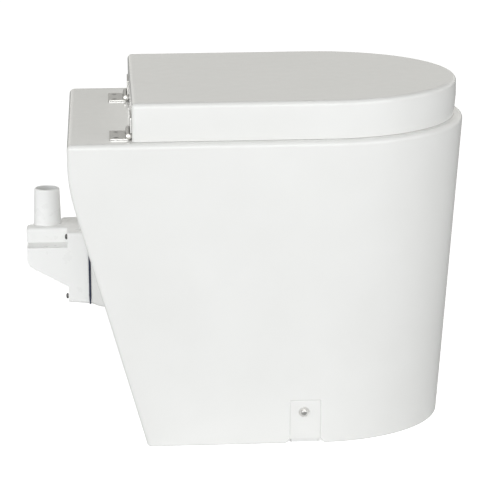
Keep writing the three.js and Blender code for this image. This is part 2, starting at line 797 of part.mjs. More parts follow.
function pedestalShell() {
  const skin = loft(pedestalLevels().map(([z, inset]) => pedestalRing(z, inset)));
  const hollowLevels = [FOOT_FLANGE_THICKNESS];
  for (let i = 0; i <= HOLLOW_KNEE_STEPS; i++) {
    hollowLevels.push(mix(kneeStart, kneeEnd, i / HOLLOW_KNEE_STEPS));
  }
  hollowLevels.push(ceiling);
  const hollow = loft(hollowLevels.map((z) => pedestalRing(z, PEDESTAL_WALL)));
  const foot = loft([
    pedestalRing(-OVERRUN, FOOT_FLANGE),
    pedestalRing(FOOT_FLANGE_THICKNESS + OVERRUN, FOOT_FLANGE),
  ]);
  const opening = planBlock(deckOpening, 0, ceiling - OVERRUN, DECK_HEIGHT + OVERRUN);
  const ventRun = collarFace + COLLAR_REACH;
  const vent = bar(ventBore, [0, 0, housingMiddle], [ventRun, 0, housingMiddle]);
  const screwHoles = housingScrews.map(([y, z]) =>
    bar(HOUSING_SCREW_SHANK + 2 * RUN_GAP, [0, y, z], [ventRun, y, z], SMALL_FACETS),
  );
  const collarThroat = loft([
    collarRing(collarFace + COLLAR_WALL, COLLAR_WALL),
    collarRing(collarFace + COLLAR_REACH, COLLAR_WALL),
  ]);
  const shell = joined(cut(skin, hollow, foot, collarThroat), collar());
  const sideCuts = sides.flatMap(([, side]) => [
    sideRecess(side),
    bracketSlot(side),
    sideScrewHole(side),
  ]);
  return cut(shell, gasketPocket(), vent, ...screwHoles, opening, ...deckHoles(), ...sideCuts);
}

function floorBracket(side) {
  const wallGap = PEDESTAL_WALL + SEAT_GAP;
  const outer = (z) => sideFace(z) - wallGap;
  const points = [
    [outer(0) - BRACKET_FOOT, 0],
    [outer(0), 0],
    [outer(BRACKET_HEIGHT), BRACKET_HEIGHT],
    [outer(BRACKET_HEIGHT) - BRACKET_THICKNESS, BRACKET_HEIGHT],
    [outer(BRACKET_THICKNESS) - BRACKET_THICKNESS, BRACKET_THICKNESS],
    [outer(0) - BRACKET_FOOT, BRACKET_THICKNESS],
  ].map(([y, z]) => [side * y, z]);
  const middle = (RECESS_REAR + recessFront) / 2;
  const span = [middle - BRACKET_WIDTH / 2, middle + BRACKET_WIDTH / 2];
  const body = sectionPushed(side < 0 ? points.reverse() : points, ...span);
  const footY = side * (outer(0) - BRACKET_FOOT / 2 - BRACKET_THICKNESS / 2);
  const floorHole = (x) =>
    bar(BRACKET_FLOOR_SCREW, [x, footY, -OVERRUN], [x, footY, 2 * BRACKET_THICKNESS]);
  const screwHole = bar(
    SIDE_SCREW_SHANK + 2 * RUN_GAP,
    sideScrewPlace(side, 0),
    sideScrewPlace(side, 2 * SIDE_SCREW_LENGTH),
    SMALL_FACETS,
  );
  const quarter = BRACKET_WIDTH / 4;
  return cut(body, screwHole, floorHole(middle - quarter), floorHole(middle + quarter));
}

function washer() {
  const bore = SIDE_SCREW_SHANK / 2 + RUN_GAP;
  return turned(
    [
      [bore, 0],
      [WASHER_DIAMETER / 2, 0],
      [WASHER_DIAMETER / 2, WASHER_THICKNESS],
      [bore, WASHER_THICKNESS],
      [bore, 0],
    ],
    ROUND_FACETS,
  );
}

piece("pedestal_shell", pedestalShell(), whiteShell);
for (const [label, side] of sides) {
  const washerDepth = RECESS_DEPTH - SEAT_GAP;
  const headDepth = washerDepth - WASHER_THICKNESS - SEAT_GAP;
  const out = outwards(side);
  piece(`floor_bracket_${label}`, floorBracket(side), zincSteel);
  piece(
    `side_washer_${label}`,
    washer(),
    steel,
    assembly,
    sideScrewPlace(side, washerDepth),
    out,
  );
  piece(
    `side_screw_${label}`,
    panScrew(SIDE_SCREW_HEAD, SIDE_SCREW_HEAD_HEIGHT, SIDE_SCREW_SHANK, SIDE_SCREW_LENGTH),
    steel,
    assembly,
    sideScrewPlace(side, headDepth),
    out,
  );
}

// Vent gasket
function ventGasket() {
  const half = gasketWidth / 2;
  const outline = roundedRectangle([-half, half], gasketHeight, GASKET_CORNER);
  const past = [gasketRear - OVERRUN, gasketFront + OVERRUN];
  const bore = bar(ventBore, [past[0], 0, housingMiddle], [past[1], 0, housingMiddle]);
  const holes = housingScrews.map(([y, z]) =>
    bar(HOUSING_SCREW_SHANK + 2 * RUN_GAP, [past[0], y, z], [past[1], y, z], SMALL_FACETS),
  );
  return cut(sectionPushed(outline, gasketRear, gasketFront), bore, ...holes);
}

// Fan housing
const shelfZ = housingTop - SCOOP_SHELF_DROP;
const scoopRear = housingRear - SCOOP_DEPTH;
const scoopKnee = housingTop - SCOOP_KNEE_DROP;
const scoopFoot = housingBottom + SCOOP_FOOT_LIFT;
const scoopSlope = (scoopKnee - scoopFoot) / SCOOP_DEPTH;

// Side view of the scoop, pulled in by a wall thickness where it is hollow.
function scoopOutline(inset) {
  const drop = inset * Math.hypot(1, scoopSlope);
  const foot = scoopFoot + drop - HOUSING_WALL * scoopSlope;
  const kneeZ = scoopKnee + drop - inset * scoopSlope;
  const edge = SCOOP_EDGE - inset;
  return roundedPolygon([
    [housingRear + HOUSING_WALL, foot],
    [housingRear + HOUSING_WALL, shelfZ - inset],
    [scoopRear + inset, shelfZ - inset, edge],
    [scoopRear + inset, kneeZ, edge],
  ]);
}

function scoop(inset) {
  const half = housingWidth / 2 - inset;
  const plan = roundedRectangle(
    [scoopRear + inset, housingRear + 2 * HOUSING_CORNER],
    [-half, half],
    HOUSING_CORNER - inset / 2,
  );
  const side = sidePushed(scoopOutline(inset), -half, half);
  return side.intersect(planPushed(plan, housingBottom, housingTop));
}

function flangeRing(x, inset) {
  const half = housingWidth / 2 - inset;
  const height = [housingBottom + inset, housingTop - inset];
  const outline = roundedRectangle([-half, half], height, HOUSING_CORNER - inset / 2);
  return outline.map(([y, z]) => new THREE.Vector3(x, y, z));
}

// Opening in the shelf, under the outlet cap.
const capRear = scoopRear - CAP_OVERHANG;
const nozzleX = housingRear - NOZZLE_SETBACK;
const shelfOpeningX = [capRear + SPIGOT_MARGIN, housingRear - SPIGOT_MARGIN];
const shelfOpeningY = [
  CAP_NEAR_Y + SPIGOT_MARGIN,
  NOZZLE_Y + NOZZLE_SEAT / 2 - SPIGOT_MARGIN / 2,
];
function shelfOutline(inset) {
  const [x0, x1] = shelfOpeningX;
  const [y0, y1] = shelfOpeningY;
  const corner = SPIGOT_CORNER - inset / 2;
  return roundedRectangle([x0 + inset, x1 - inset], [y0 + inset, y1 - inset], corner);
}

const fanRear = housingFront - FAN_FRONT_SET - FAN_DEPTH;
const fanFront = housingFront - FAN_FRONT_SET;

function fanHousing() {
  const edge = HOUSING_CORNER / 2;
  const box = loft([
    flangeRing(housingRear, edge),
    flangeRing(housingRear + edge / 4, edge / 4),
    flangeRing(housingRear + edge, 0),
    flangeRing(housingFront, 0),
  ]);
  const room = loft([
    flangeRing(housingRear + HOUSING_WALL, HOUSING_WALL),
    flangeRing(housingFront + OVERRUN, HOUSING_WALL),
  ]);
  const shelf = planPushed(shelfOutline(0), shelfZ - 2 * HOUSING_WALL, shelfZ + OVERRUN);
  const bossRoot = housingRear + HOUSING_WALL / 2;
  const screwBosses = housingScrews.map(([y, z]) =>
    bar(HOUSING_BOSS, [bossRoot, y, z], [housingFront, y, z], SMALL_FACETS),
  );
  const fanBosses = fanScrews.map(([y, z]) =>
    bar(FAN_BOSS, [bossRoot, y, z], [fanRear - SEAT_GAP, y, z], SMALL_FACETS),
  );
  const past = [scoopRear, housingFront + OVERRUN];
  const screwHoles = housingScrews.map(([y, z]) =>
    bar(HOUSING_SCREW_SHANK + 2 * RUN_GAP, [past[0], y, z], [past[1], y, z], SMALL_FACETS),
  );
  const holeRoot = housingRear + HOUSING_WALL;
  const fanHoles = fanScrews.map(([y, z]) =>
    bar(FAN_SCREW_SHANK + 2 * RUN_GAP, [holeRoot, y, z], [past[1], y, z], SMALL_FACETS),
  );
  const shell = cut(joined(box, scoop(0)), room, scoop(HOUSING_WALL), shelf);
  return cut(joined(shell, ...screwBosses, ...fanBosses), ...screwHoles, ...fanHoles);
}

// Outlet cap, in plan: a block at the rear, a round seat under the nozzle and a step that
// reaches the far edge of the flange box.
const capFront = housingRear - SEAT_GAP;
const capBottom = shelfZ + SEAT_GAP;
const capTop = capBottom + CAP_HEIGHT;
const capStepX = housingRear - CAP_STEP_DEPTH;

function capBody(inset, z0, z1) {
  const rearBlock = roundedRectangle(
    [capRear + inset, capFront - inset],
    [CAP_NEAR_Y + inset, CAP_MIDDLE_Y],
    CAP_CORNER - inset / 2,
  );
  const neck = [
    [nozzleX, CAP_NEAR_Y / 2],
    [capFront - inset, CAP_NEAR_Y / 2],
    [capFront - inset, CAP_STEP_Y - inset],
    [housingRear - CAP_NECK_DEPTH, CAP_STEP_Y - inset],
  ];
  const seat = bar(NOZZLE_SEAT - 2 * inset, [nozzleX, NOZZLE_Y, z0], [nozzleX, NOZZLE_Y, z1]);
  return joined(planPushed(rearBlock, z0, z1), planPushed(neck, z0, z1), seat);
}

function nozzle() {
  const base = NOZZLE_BASE / 2;
  const tip = NOZZLE_TIP / 2;
  const lip = NOZZLE_WALL / 2;
  return turned(
    [
      [0, -CAP_WALL],
      [base + NOZZLE_FILLET, -CAP_WALL],
      [base + NOZZLE_FILLET, 0],
      [base + NOZZLE_FILLET / 3, NOZZLE_FILLET / 3],
      [base, NOZZLE_FILLET],
      [tip, NOZZLE_HEIGHT - lip],
      [tip - lip / 3, NOZZLE_HEIGHT - lip / 3],
      [tip - lip, NOZZLE_HEIGHT],
      [0, NOZZLE_HEIGHT],
    ],
    ROUND_FACETS,
  );
}

function nozzleBore() {
  const base = NOZZLE_BASE / 2 - NOZZLE_WALL;
  const tip = NOZZLE_TIP / 2 - NOZZLE_WALL;
  return turned(
    [
      [0, -2 * CAP_WALL],
      [base, -2 * CAP_WALL],
      [base, 0],
      [tip, NOZZLE_HEIGHT - NOZZLE_WALL],
      [tip + NOZZLE_WALL / 2, NOZZLE_HEIGHT + NOZZLE_WALL / 4],
      [0, NOZZLE_HEIGHT + NOZZLE_WALL / 4],
    ],
    ROUND_FACETS,
  );
}

function outletCap() {
  const foot = [nozzleX, NOZZLE_Y, capTop];
  const step = [
    [capStepX, CAP_MIDDLE_Y],
    [capFront, CAP_MIDDLE_Y],
    [capFront, housingWidth / 2],
    [capStepX, housingWidth / 2],
  ];
  const body = joined(
    capBody(0, capBottom, capTop - CAP_EDGE),
    capBody(CAP_EDGE / 2, capTop - 2 * CAP_EDGE, capTop),
    planPushed(step, capBottom, capTop),
    planPushed(shelfOutline(RUN_GAP), capBottom - SPIGOT_DEPTH, capBottom + CAP_WALL),
    moved(nozzle(), foot),
  );
  const hollow = capBody(CAP_WALL, capBottom + CAP_WALL, capTop - CAP_WALL);
  const throat = planPushed(
    shelfOutline(RUN_GAP + SPIGOT_WALL),
    capBottom - SPIGOT_DEPTH - OVERRUN,
    capBottom + 2 * CAP_WALL,
  );
  const [farY, farZ] = housingScrews[1];
  const screwHole = bar(
    HOUSING_SCREW_SHANK + 2 * RUN_GAP,
    [capStepX - OVERRUN, farY, farZ],
    [housingRear + OVERRUN, farY, farZ],
    SMALL_FACETS,
  );
  return cut(body, hollow, throat, moved(nozzleBore(), foot), screwHole);
}

piece("vent_gasket", ventGasket(), gasketRubber);
piece("fan_housing", fanHousing(), whiteShell);
piece("outlet_cap", outletCap(), whiteShell);
housingScrews.forEach(([y, z], i) => {
  const seat = i === 1 ? capStepX : housingRear;
  const length = HOUSING_SCREW_LENGTH + housingRear - seat;
  const shape = panScrew(
    HOUSING_SCREW_HEAD,
    HOUSING_SCREW_HEAD_HEIGHT,
    HOUSING_SCREW_SHANK,
    length,
  );
  piece(`housing_screw_${i + 1}`, shape, steel, assembly, [seat - SEAT_GAP, y, z], [-1, 0, 0]);
});

// Axial fan: frame with struts and shaft, and a rotor that turns on the shaft
const fanBore = FAN_SIZE - 2 * FAN_RIM;
const rotorTip = fanBore - 2 * ROTOR_TIP_GAP;

function fanFrame() {
  const half = FAN_SIZE / 2;
  const height = [housingMiddle - half, housingMiddle + half];
  const square = roundedRectangle([-half, half], height, FAN_CORNER);
  const along = (x) => [x, 0, housingMiddle];
  const bore = bar(fanBore, along(fanRear - OVERRUN), along(fanFront + OVERRUN));
  const holes = fanScrews.map(([y, z]) => {
    const from = [fanRear - OVERRUN, y, z];
    return bar(FAN_SCREW_SHANK + 2 * RUN_GAP, from, [fanFront + OVERRUN, y, z], SMALL_FACETS);
  });
  const strutX = [fanRear, fanRear + FAN_STRUT_DEPTH];
  const struts = [];
  for (let i = 0; i < FAN_STRUTS / 2; i++) {
    const turn = (2 * Math.PI * i) / FAN_STRUTS + RIGHT_ANGLE / 2;
    const length = fanBore + FAN_RIM;
    const geometry = new THREE.BoxGeometry(FAN_STRUT_DEPTH, FAN_STRUT_WIDTH, length);
    geometry.rotateX(turn);
    struts.push(solidOf(geometry.translate((strutX[0] + strutX[1]) / 2, 0, housingMiddle)));
  }
  const hub = bar(FAN_HUB, along(strutX[0]), along(strutX[1]));
  const shaftEnd = fanFront - ROTOR_END_GAP - ROTOR_CAP - RUN_GAP;
  const shaft = bar(FAN_SHAFT, along(strutX[0]), along(shaftEnd), SMALL_FACETS);
  const ring = cut(sectionPushed(square, fanRear, fanFront), bore, ...holes);
  return joined(ring, ...struts, hub, shaft);
}

// Blade section at a share of its height: a cambered strip across the chord, along x and y.
function bladeSection(share) {
  const chord = mix(BLADE_CHORD_ROOT, BLADE_CHORD_TIP, share);
  const pitch = mix(BLADE_PITCH_ROOT, BLADE_PITCH_TIP, share);
  const radius = mix(ROTOR_HUB / 2 - BLADE_THICKNESS, rotorTip / 2 + BLADE_THICKNESS, share);
  const upper = [];
  const lower = [];
  const chordShares = [-0.5, -0.25, 0, 0.25, 0.5];
  for (const along of chordShares) {
    const rise = BLADE_CAMBER * (1 - (2 * along) ** 2);
    const thin = BLADE_THICKNESS * (1 - Math.abs(along));
    upper.push([along * chord, rise + thin / 2]);
    lower.unshift([along * chord, rise - thin / 2]);
  }
  return [...lower, ...upper].map(([u, v]) => {
    const across = u * Math.cos(pitch) - v * Math.sin(pitch);
    const axial = u * Math.sin(pitch) + v * Math.cos(pitch);
    return new THREE.Vector3(axial, across, radius);
  });
}

function fanRotor() {
  const half = ROTOR_DEPTH / 2;
  const hub = bar(ROTOR_HUB, [-half, 0, 0], [half, 0, 0]);
  const bore = bar(
    FAN_SHAFT + 2 * RUN_GAP,
    [-half - OVERRUN, 0, 0],
    [half - ROTOR_CAP, 0, 0],
    SMALL_FACETS,
  );
  const sections = [];
  for (let i = 0; i < BLADE_STATIONS; i++) {
    sections.push(bladeSection(i / (BLADE_STATIONS - 1)));
  }
  const blades = [];
  for (let i = 0; i < BLADE_COUNT; i++) {
    const turn = (2 * Math.PI * i) / BLADE_COUNT;
    blades.push(
      loft(
        sections.map((section) =>
          section.map((point) => point.clone().applyAxisAngle(axes[0], turn)),
        ),
      ),
    );
  }
  const sweep = bar(rotorTip, [-half, 0, 0], [half, 0, 0]);
  return cut(joined(hub, ...blades).intersect(sweep), bore);
}

piece("fan_frame", fanFrame(), fanBlack);
const rotorX = fanFront - ROTOR_END_GAP - ROTOR_DEPTH / 2;
piece("fan_rotor", fanRotor(), fanBlack, assembly, [rotorX, 0, housingMiddle]);
fanScrews.forEach(([y, z], i) => {
  const shape = panScrew(
    FAN_SCREW_HEAD,
    FAN_SCREW_HEAD_HEIGHT,
    FAN_SCREW_SHANK,
    FAN_SCREW_LENGTH,
  );
  piece(`fan_screw_${i + 1}`, shape, zincSteel, assembly, [fanFront + SEAT_GAP, y, z], [1, 0, 0]);
});

// Lid and its liner
const lidBottom = DECK_HEIGHT + LID_LIFT;
const lidTop = lidBottom + LID_HEIGHT;

// The sides and front draft in towards the rim, while the hinge face stays upright.
function lidRing(z, inset, draft) {
  const drafted = { ...lidPlan, rear: LID_REAR - draft };
  return planRing(drafted, inset + draft, z);
}

function lidHinges() {
  const holes = [];
  for (const [, middle] of hinges) {
    for (const y of leafScrewYs) {
      const z = hingeZ + LID_SCREW_REACH;
      const from = [LID_REAR - OVERRUN, middle + y, z];
      holes.push(bar(pilotHole, from, [LID_REAR + 2 * LID_WALL, middle + y, z], SMALL_FACETS));
    }
  }
  return holes;
}

function lidShell() {
  const levels = [
    [lidBottom, LID_WALL / 4, LID_DRAFT],
    [lidBottom + LID_WALL / 4, 0, LID_DRAFT],
    [lidBottom + LID_DRAFT_HEIGHT, 0, 0],
  ];
  for (let i = 0; i <= EDGE_STEPS; i++) {
    const turn = (RIGHT_ANGLE * i) / EDGE_STEPS;
    const drop = LID_EDGE * (1 - Math.sin(turn));
    levels.push([lidTop - drop, LID_EDGE * (1 - Math.cos(turn)), 0]);
  }
  const skin = loft(levels.map((level) => lidRing(...level)));
  const hollow = loft([
    lidRing(lidBottom - OVERRUN, LID_WALL, LID_DRAFT),
    lidRing(lidBottom, LID_WALL, LID_DRAFT),
    lidRing(lidBottom + LID_DRAFT_HEIGHT, LID_WALL, 0),
    lidRing(lidTop - LID_EDGE, LID_WALL, 0),
    lidRing(lidTop - LID_WALL, LID_EDGE, 0),
  ]);
  return cut(skin, hollow, ...lidHinges());
}

// The liner is a tray turned upside down in the lid, with its rim against the lid's top.
function lidLiner() {
  const bottom = lidBottom + LINER_BOTTOM;
  const top = lidTop - LID_WALL - SEAT_GAP;
  const inset = LID_WALL + SEAT_GAP;
  const bend = lidTop - LID_EDGE;
  const body = loft([
    lidRing(bottom, inset + LINER_THICKNESS / 2, 0),
    lidRing(bottom + LINER_THICKNESS / 2, inset, 0),
    lidRing(bend, inset, 0),
    lidRing(top, LID_EDGE + SEAT_GAP, 0),
  ]);
  const hollow = loft([
    lidRing(bottom + LINER_THICKNESS, LID_EDGE + LINER_WALL, 0),
    lidRing(top + OVERRUN, LID_EDGE + LINER_WALL, 0),
  ]);
  return cut(body, hollow);
}

const lid = new THREE.Group();
assembly.add(lid);
piece("lid_shell", lidShell(), whiteShell, lid);
piece("lid_liner", lidLiner(), whiteInner, lid);

// Butt hinge, built about its own axis along y, with the deck below and the lid in front
const knuckleRun = LEAF_LENGTH / KNUCKLES;
const barrelRadius = BARREL_DIAMETER / 2;
const pinBore = PIN_DIAMETER + 2 * RUN_GAP;

function knuckleSpans(first) {
  const spans = [];
  for (let i = first; i < KNUCKLES; i += 2) {
    const start = -LEAF_LENGTH / 2 + i * knuckleRun;
    const inner = i > 0 ? RUN_GAP / 2 : 0;
    const outer = i < KNUCKLES - 1 ? RUN_GAP / 2 : 0;
    spans.push([start + inner, start + knuckleRun - outer]);
  }
  return spans;
}

function leaf(plate, root, first) {
  const knuckles = knuckleSpans(first).flatMap((span) => [
    bar(BARREL_DIAMETER, [0, span[0], 0], [0, span[1], 0], ROUND_FACETS / 2),
    block(root.x, span, root.z),
  ]);
  const across = [-LEAF_LENGTH / 2, LEAF_LENGTH / 2];
  const past = LEAF_LENGTH / 2 + OVERRUN;
  const bore = bar(pinBore, [0, -past, 0], [0, past, 0], ROUND_FACETS / 2);
  return cut(joined(block(plate.x, across, plate.z), ...knuckles), bore);
}

const clearOfBarrel = barrelRadius + LEAF_SLOT;

function deckLeaf() {
  const z = [-DECK_LEAF_OFFSET - LEAF_THICKNESS, -DECK_LEAF_OFFSET];
  const plate = { x: [-DECK_LEAF_REACH, -clearOfBarrel], z };
  const body = leaf(plate, { x: [-clearOfBarrel, 0], z }, 0);
  const holes = leafScrewYs.map((y) =>
    moved(countersunkHole(LEAF_SCREW_HEAD, LEAF_SCREW_SHANK, LEAF_SCREW_LENGTH), [
      -DECK_SCREW_REACH,
      y,
      -DECK_LEAF_OFFSET,
    ]),
  );
  return cut(body, ...holes);
}

function lidLeaf() {
  const x = [LID_LEAF_OFFSET, LID_LEAF_OFFSET + LEAF_THICKNESS];
  const plate = { x, z: [clearOfBarrel, LID_LEAF_REACH] };
  const body = leaf(plate, { x, z: [0, clearOfBarrel] }, 1);
  const holes = leafScrewYs.map((y) =>
    moved(
      countersunkHole(LEAF_SCREW_HEAD, LEAF_SCREW_SHANK, LEAF_SCREW_LENGTH),
      [LID_LEAF_OFFSET, y, LID_SCREW_REACH],
      [-1, 0, 0],
    ),
  );
  return cut(body, ...holes);
}

// Pin with a domed head, standing along its own +Z.
function hingePin() {
  return turned(
    [
      [0, -LEAF_LENGTH - SEAT_GAP],
      [PIN_DIAMETER / 2, -LEAF_LENGTH - SEAT_GAP],
      [PIN_DIAMETER / 2, 0],
      [PIN_HEAD / 2, 0],
      [PIN_HEAD / 2, PIN_HEAD_HEIGHT / 4],
      [PIN_HEAD / 2 - PIN_HEAD / 12, (2 * PIN_HEAD_HEIGHT) / 3],
      [PIN_HEAD / 4, PIN_HEAD_HEIGHT - PIN_HEAD_HEIGHT / 12],
      [0, PIN_HEAD_HEIGHT],
    ],
    ROUND_FACETS / 2,
  );
}

for (const [label, middle] of hinges) {
  const fixed = new THREE.Group();
  const moving = new THREE.Group();
  fixed.position.set(hingeX, middle, hingeZ);
  moving.position.copy(fixed.position);
  assembly.add(fixed);
  lid.add(moving);
  piece(`hinge_deck_leaf_${label}`, deckLeaf(), steel, fixed);
  piece(`hinge_lid_leaf_${label}`, lidLeaf(), steel, moving);
  const headSeat = [0, -LEAF_LENGTH / 2 - SEAT_GAP, 0];
  piece(`hinge_pin_${label}`, hingePin(), steel, fixed, headSeat, [0, -1, 0]);
  leafScrewYs.forEach((y, i) => {
    const shape = countersunkScrew(LEAF_SCREW_HEAD, LEAF_SCREW_SHANK, LEAF_SCREW_LENGTH);
    const deckPlace = [-DECK_SCREW_REACH, y, -DECK_LEAF_OFFSET];
    const lidPlace = [LID_LEAF_OFFSET, y, LID_SCREW_REACH];
    piece(`deck_leaf_screw_${label}_${i + 1}`, shape, steel, fixed, deckPlace);
    piece(`lid_leaf_screw_${label}_${i + 1}`, shape, steel, moving, lidPlace, [-1, 0, 0]);
  });
}

// Urine-diverting bowl
const bowlFlangeBottom = DECK_HEIGHT + SEAT_GAP;
const bowlFlangeTop = bowlFlangeBottom + BOWL_FLANGE;
const tubFloor = bowlFlangeTop - TUB_DEPTH;
const floorInset = BOWL_CLEARANCE + TUB_TAPER;
const floorWidth = deckOpening.width - 2 * floorInset;
const chuteRear = deckOpening.rear + floorInset + CHUTE_REAR_MARGIN;
const chuteFront = chuteRear + CHUTE_LENGTH;
const chuteBottom = tubFloor - CHUTE_DEPTH;
const chutePlan = {
  rear: chuteRear,
  front: chuteFront,
  width: floorWidth - 2 * CHUTE_SIDE_MARGIN,
  straight: chuteFront - CHUTE_CORNER,
  corner: CHUTE_CORNER,
};
const basinRear = chuteFront + BASIN_GAP;
const basinFront = deckOpening.front - floorInset - BASIN_FRONT_MARGIN;
const basinPlan = {
  rear: basinRear,
  front: basinFront,
  width: floorWidth - 2 * BASIN_SIDE_MARGIN,
  straight: (basinRear + basinFront) / 2,
  corner: BASIN_CORNER,
};
const spoutX = mix(basinRear, basinFront, SPOUT_PLACE_SHARE);
const spoutBottom = tubFloor - BASIN_DEPTH - SPOUT_DEPTH;

// The spout's outline has as many points as a plan ring, so that the basin narrows to it.
function spoutRing(inset, z) {
  const radius = SPOUT_DIAMETER / 2 - inset;
  const plan = {
    rear: spoutX - radius,
    front: spoutX + radius,
    width: 2 * radius,
    straight: spoutX,
    corner: radius,
  };
  return planRing(plan, 0, z);
}

function basin(inset, lift) {
  return loft([
    spoutRing(inset, spoutBottom - (inset ? OVERRUN : 0)),
    spoutRing(inset, tubFloor - BASIN_DEPTH + inset),
    planRing(basinPlan, inset, tubFloor - BASIN_DEPTH / 4 + inset),
    planRing(basinPlan, inset, tubFloor + lift),
  ]);
}

function diverterBowl() {
  const floorTop = tubFloor + BOWL_WALL;
  const tub = planBlock(deckOpening, floorInset, tubFloor, bowlFlangeTop, BOWL_CLEARANCE);
  const outer = joined(
    planBlock(deckOpening, -BOWL_FLANGE_REACH, bowlFlangeBottom, bowlFlangeTop),
    tub,
    planBlock(chutePlan, CHUTE_TAPER, chuteBottom, floorTop, 0),
    basin(0, BOWL_WALL),
  );
  const well = loft([
    planRing(deckOpening, floorInset + BOWL_WALL, floorTop),
    planRing(deckOpening, BOWL_CLEARANCE + BOWL_WALL, bowlFlangeTop),
    planRing(deckOpening, BOWL_CLEARANCE + BOWL_WALL, bowlFlangeTop + OVERRUN),
  ]);
  const chute = loft([
    planRing(chutePlan, CHUTE_TAPER + BOWL_WALL, chuteBottom - OVERRUN),
    planRing(chutePlan, CHUTE_TAPER + BOWL_WALL, chuteBottom),
    planRing(chutePlan, BOWL_WALL, floorTop + OVERRUN),
  ]);
  const drained = basin(BOWL_WALL, BOWL_WALL + OVERRUN);
  const shell = cut(outer, well, chute, drained);
  const weirX = (chuteFront + basinRear) / 2;
  const weirSpan = [weirX - WEIR_THICKNESS / 2, weirX + WEIR_THICKNESS / 2];
  const half = deckOpening.width / 2 - BOWL_CLEARANCE - BOWL_WALL;
  const dip = WEIR_HEIGHT / 2;
  const weirOutline = [
    [-half, tubFloor],
    [half, tubFloor],
    [half, bowlFlangeBottom],
  ];
  for (let i = 0; i <= CORNER_STEPS * 2; i++) {
    const across = 1 - i / CORNER_STEPS;
    weirOutline.push([across * (half - dip), floorTop + WEIR_HEIGHT - dip * (1 - across ** 2)]);
  }
  weirOutline.push([-half, bowlFlangeBottom]);
  const weir = sectionPushed(weirOutline, ...weirSpan).intersect(tub);
  return joined(shell, weir);
}

piece("diverter_bowl", diverterBowl(), whiteInner);

// Seat ring
const seatBottom = bowlFlangeTop + SEAT_GAP;
const seatTop = seatBottom + SEAT_THICKNESS;

// Section from the outer edge inwards, as [distance, height]: a rounded outer edge, a flat top,
// a dish towards the hole and a rounded inner edge.
function seatSection(width) {
  const points = [
    [SEAT_FOOT_EDGE, seatBottom],
    [0, seatBottom + SEAT_FOOT_EDGE],
  ];
  for (let i = 0; i <= EDGE_STEPS; i++) {
    const turn = (RIGHT_ANGLE * i) / EDGE_STEPS;
    const rise = SEAT_EDGE * (1 - Math.sin(turn));
    points.push([SEAT_EDGE * (1 - Math.cos(turn)), seatTop - rise]);
  }
  points.push([(width * 2) / 3, seatTop]);
  for (let i = 1; i <= EDGE_STEPS; i++) {
    const turn = (RIGHT_ANGLE * i) / EDGE_STEPS;
    const reach = width - SEAT_EDGE * (1 - Math.sin(turn));
    points.push([reach, seatTop - SEAT_DISH - SEAT_EDGE * (1 - Math.cos(turn))]);
  }
  points.push([width, seatBottom + SEAT_FOOT_EDGE]);
  points.push([width - SEAT_FOOT_EDGE, seatBottom]);
  return points;
}

function seatRing() {
  const outer = planRing(seatPlan, 0, 0);
  const inner = planRing(holePlan, 0, 0);
  const ring = ringLoft(
    outer.map((start, i) => {
      const across = inner[i].clone().sub(start);
      const width = across.length();
      across.normalize();
      return seatSection(width).map(([run, z]) =>
        start.clone().addScaledVector(across, run).setZ(z),
      );
    }),
  );
  const bosses = sides.map(([, side]) => {
    const y = side * SEAT_SCREW_Y;
    const foot = [seatScrewX, y, DECK_HEIGHT + SEAT_GAP];
    return bar(SEAT_BOSS, foot, [seatScrewX, y, seatBottom + SEAT_EDGE]);
  });
  const holes = sides.map(([, side]) =>
    moved(countersunkHole(SEAT_SCREW_HEAD, SEAT_SCREW_SHANK, SEAT_SCREW_LENGTH), [
      seatScrewX,
      side * SEAT_SCREW_Y,
      seatTop,
    ]),
  );
  return cut(joined(ring, ...bosses), ...holes);
}

piece("seat_ring", seatRing(), whiteInner);
for (const [label, side] of sides) {
  const shape = countersunkScrew(SEAT_SCREW_HEAD, SEAT_SCREW_SHANK, SEAT_SCREW_LENGTH);
  const place = [seatScrewX, side * SEAT_SCREW_Y, seatTop];
  piece(`seat_screw_${label}`, shape, steel, assembly, place);
}

// Buffers under the seat and under the lid's liner
function buffer(diameter, z0, z1) {
  const edge = (z1 - z0) / 4;
  return turned(
    [
      [0, z0],
      [diameter / 2 - edge, z0],
      [diameter / 2, z0 + edge],
      [diameter / 2, z1],
      [0, z1],
    ],
    ROUND_FACETS / 2,
  );
}

const ends = ["rear", "front"];
for (const [label, side] of sides) {
  ends.forEach((end, i) => {
    const x = seatPlan.rear + SEAT_BUFFER_REAR_INSET + i * SEAT_BUFFER_SPACING;
    const y = side * (seatPlan.width / 2 - SEAT_BUFFER_MARGIN);
    const under = buffer(SEAT_BUFFER_DIAMETER, DECK_HEIGHT + SEAT_GAP, seatBottom - SEAT_GAP);
    piece(`seat_buffer_${end}_${label}`, under, softRubber, assembly, [x, y, 0]);
    const turn = i ? LID_BUFFER_TURN : 2 * RIGHT_ANGLE - LID_BUFFER_TURN;
    const middle = (holePlan.rear + holePlan.front) / 2;
    const reachX = (holePlan.front - holePlan.rear) / 2 + LID_BUFFER_OUTSET;
    const reachY = holePlan.width / 2 + LID_BUFFER_OUTSET;
    const place = [middle + reachX * Math.cos(turn), side * reachY * Math.sin(turn), 0];
    const linerFace = lidBottom + LINER_BOTTOM - SEAT_GAP;
    const over = buffer(LID_BUFFER_DIAMETER, seatTop + SEAT_GAP, linerFace);
    piece(`lid_buffer_${end}_${label}`, over, softRubber, lid, place);
  });
}

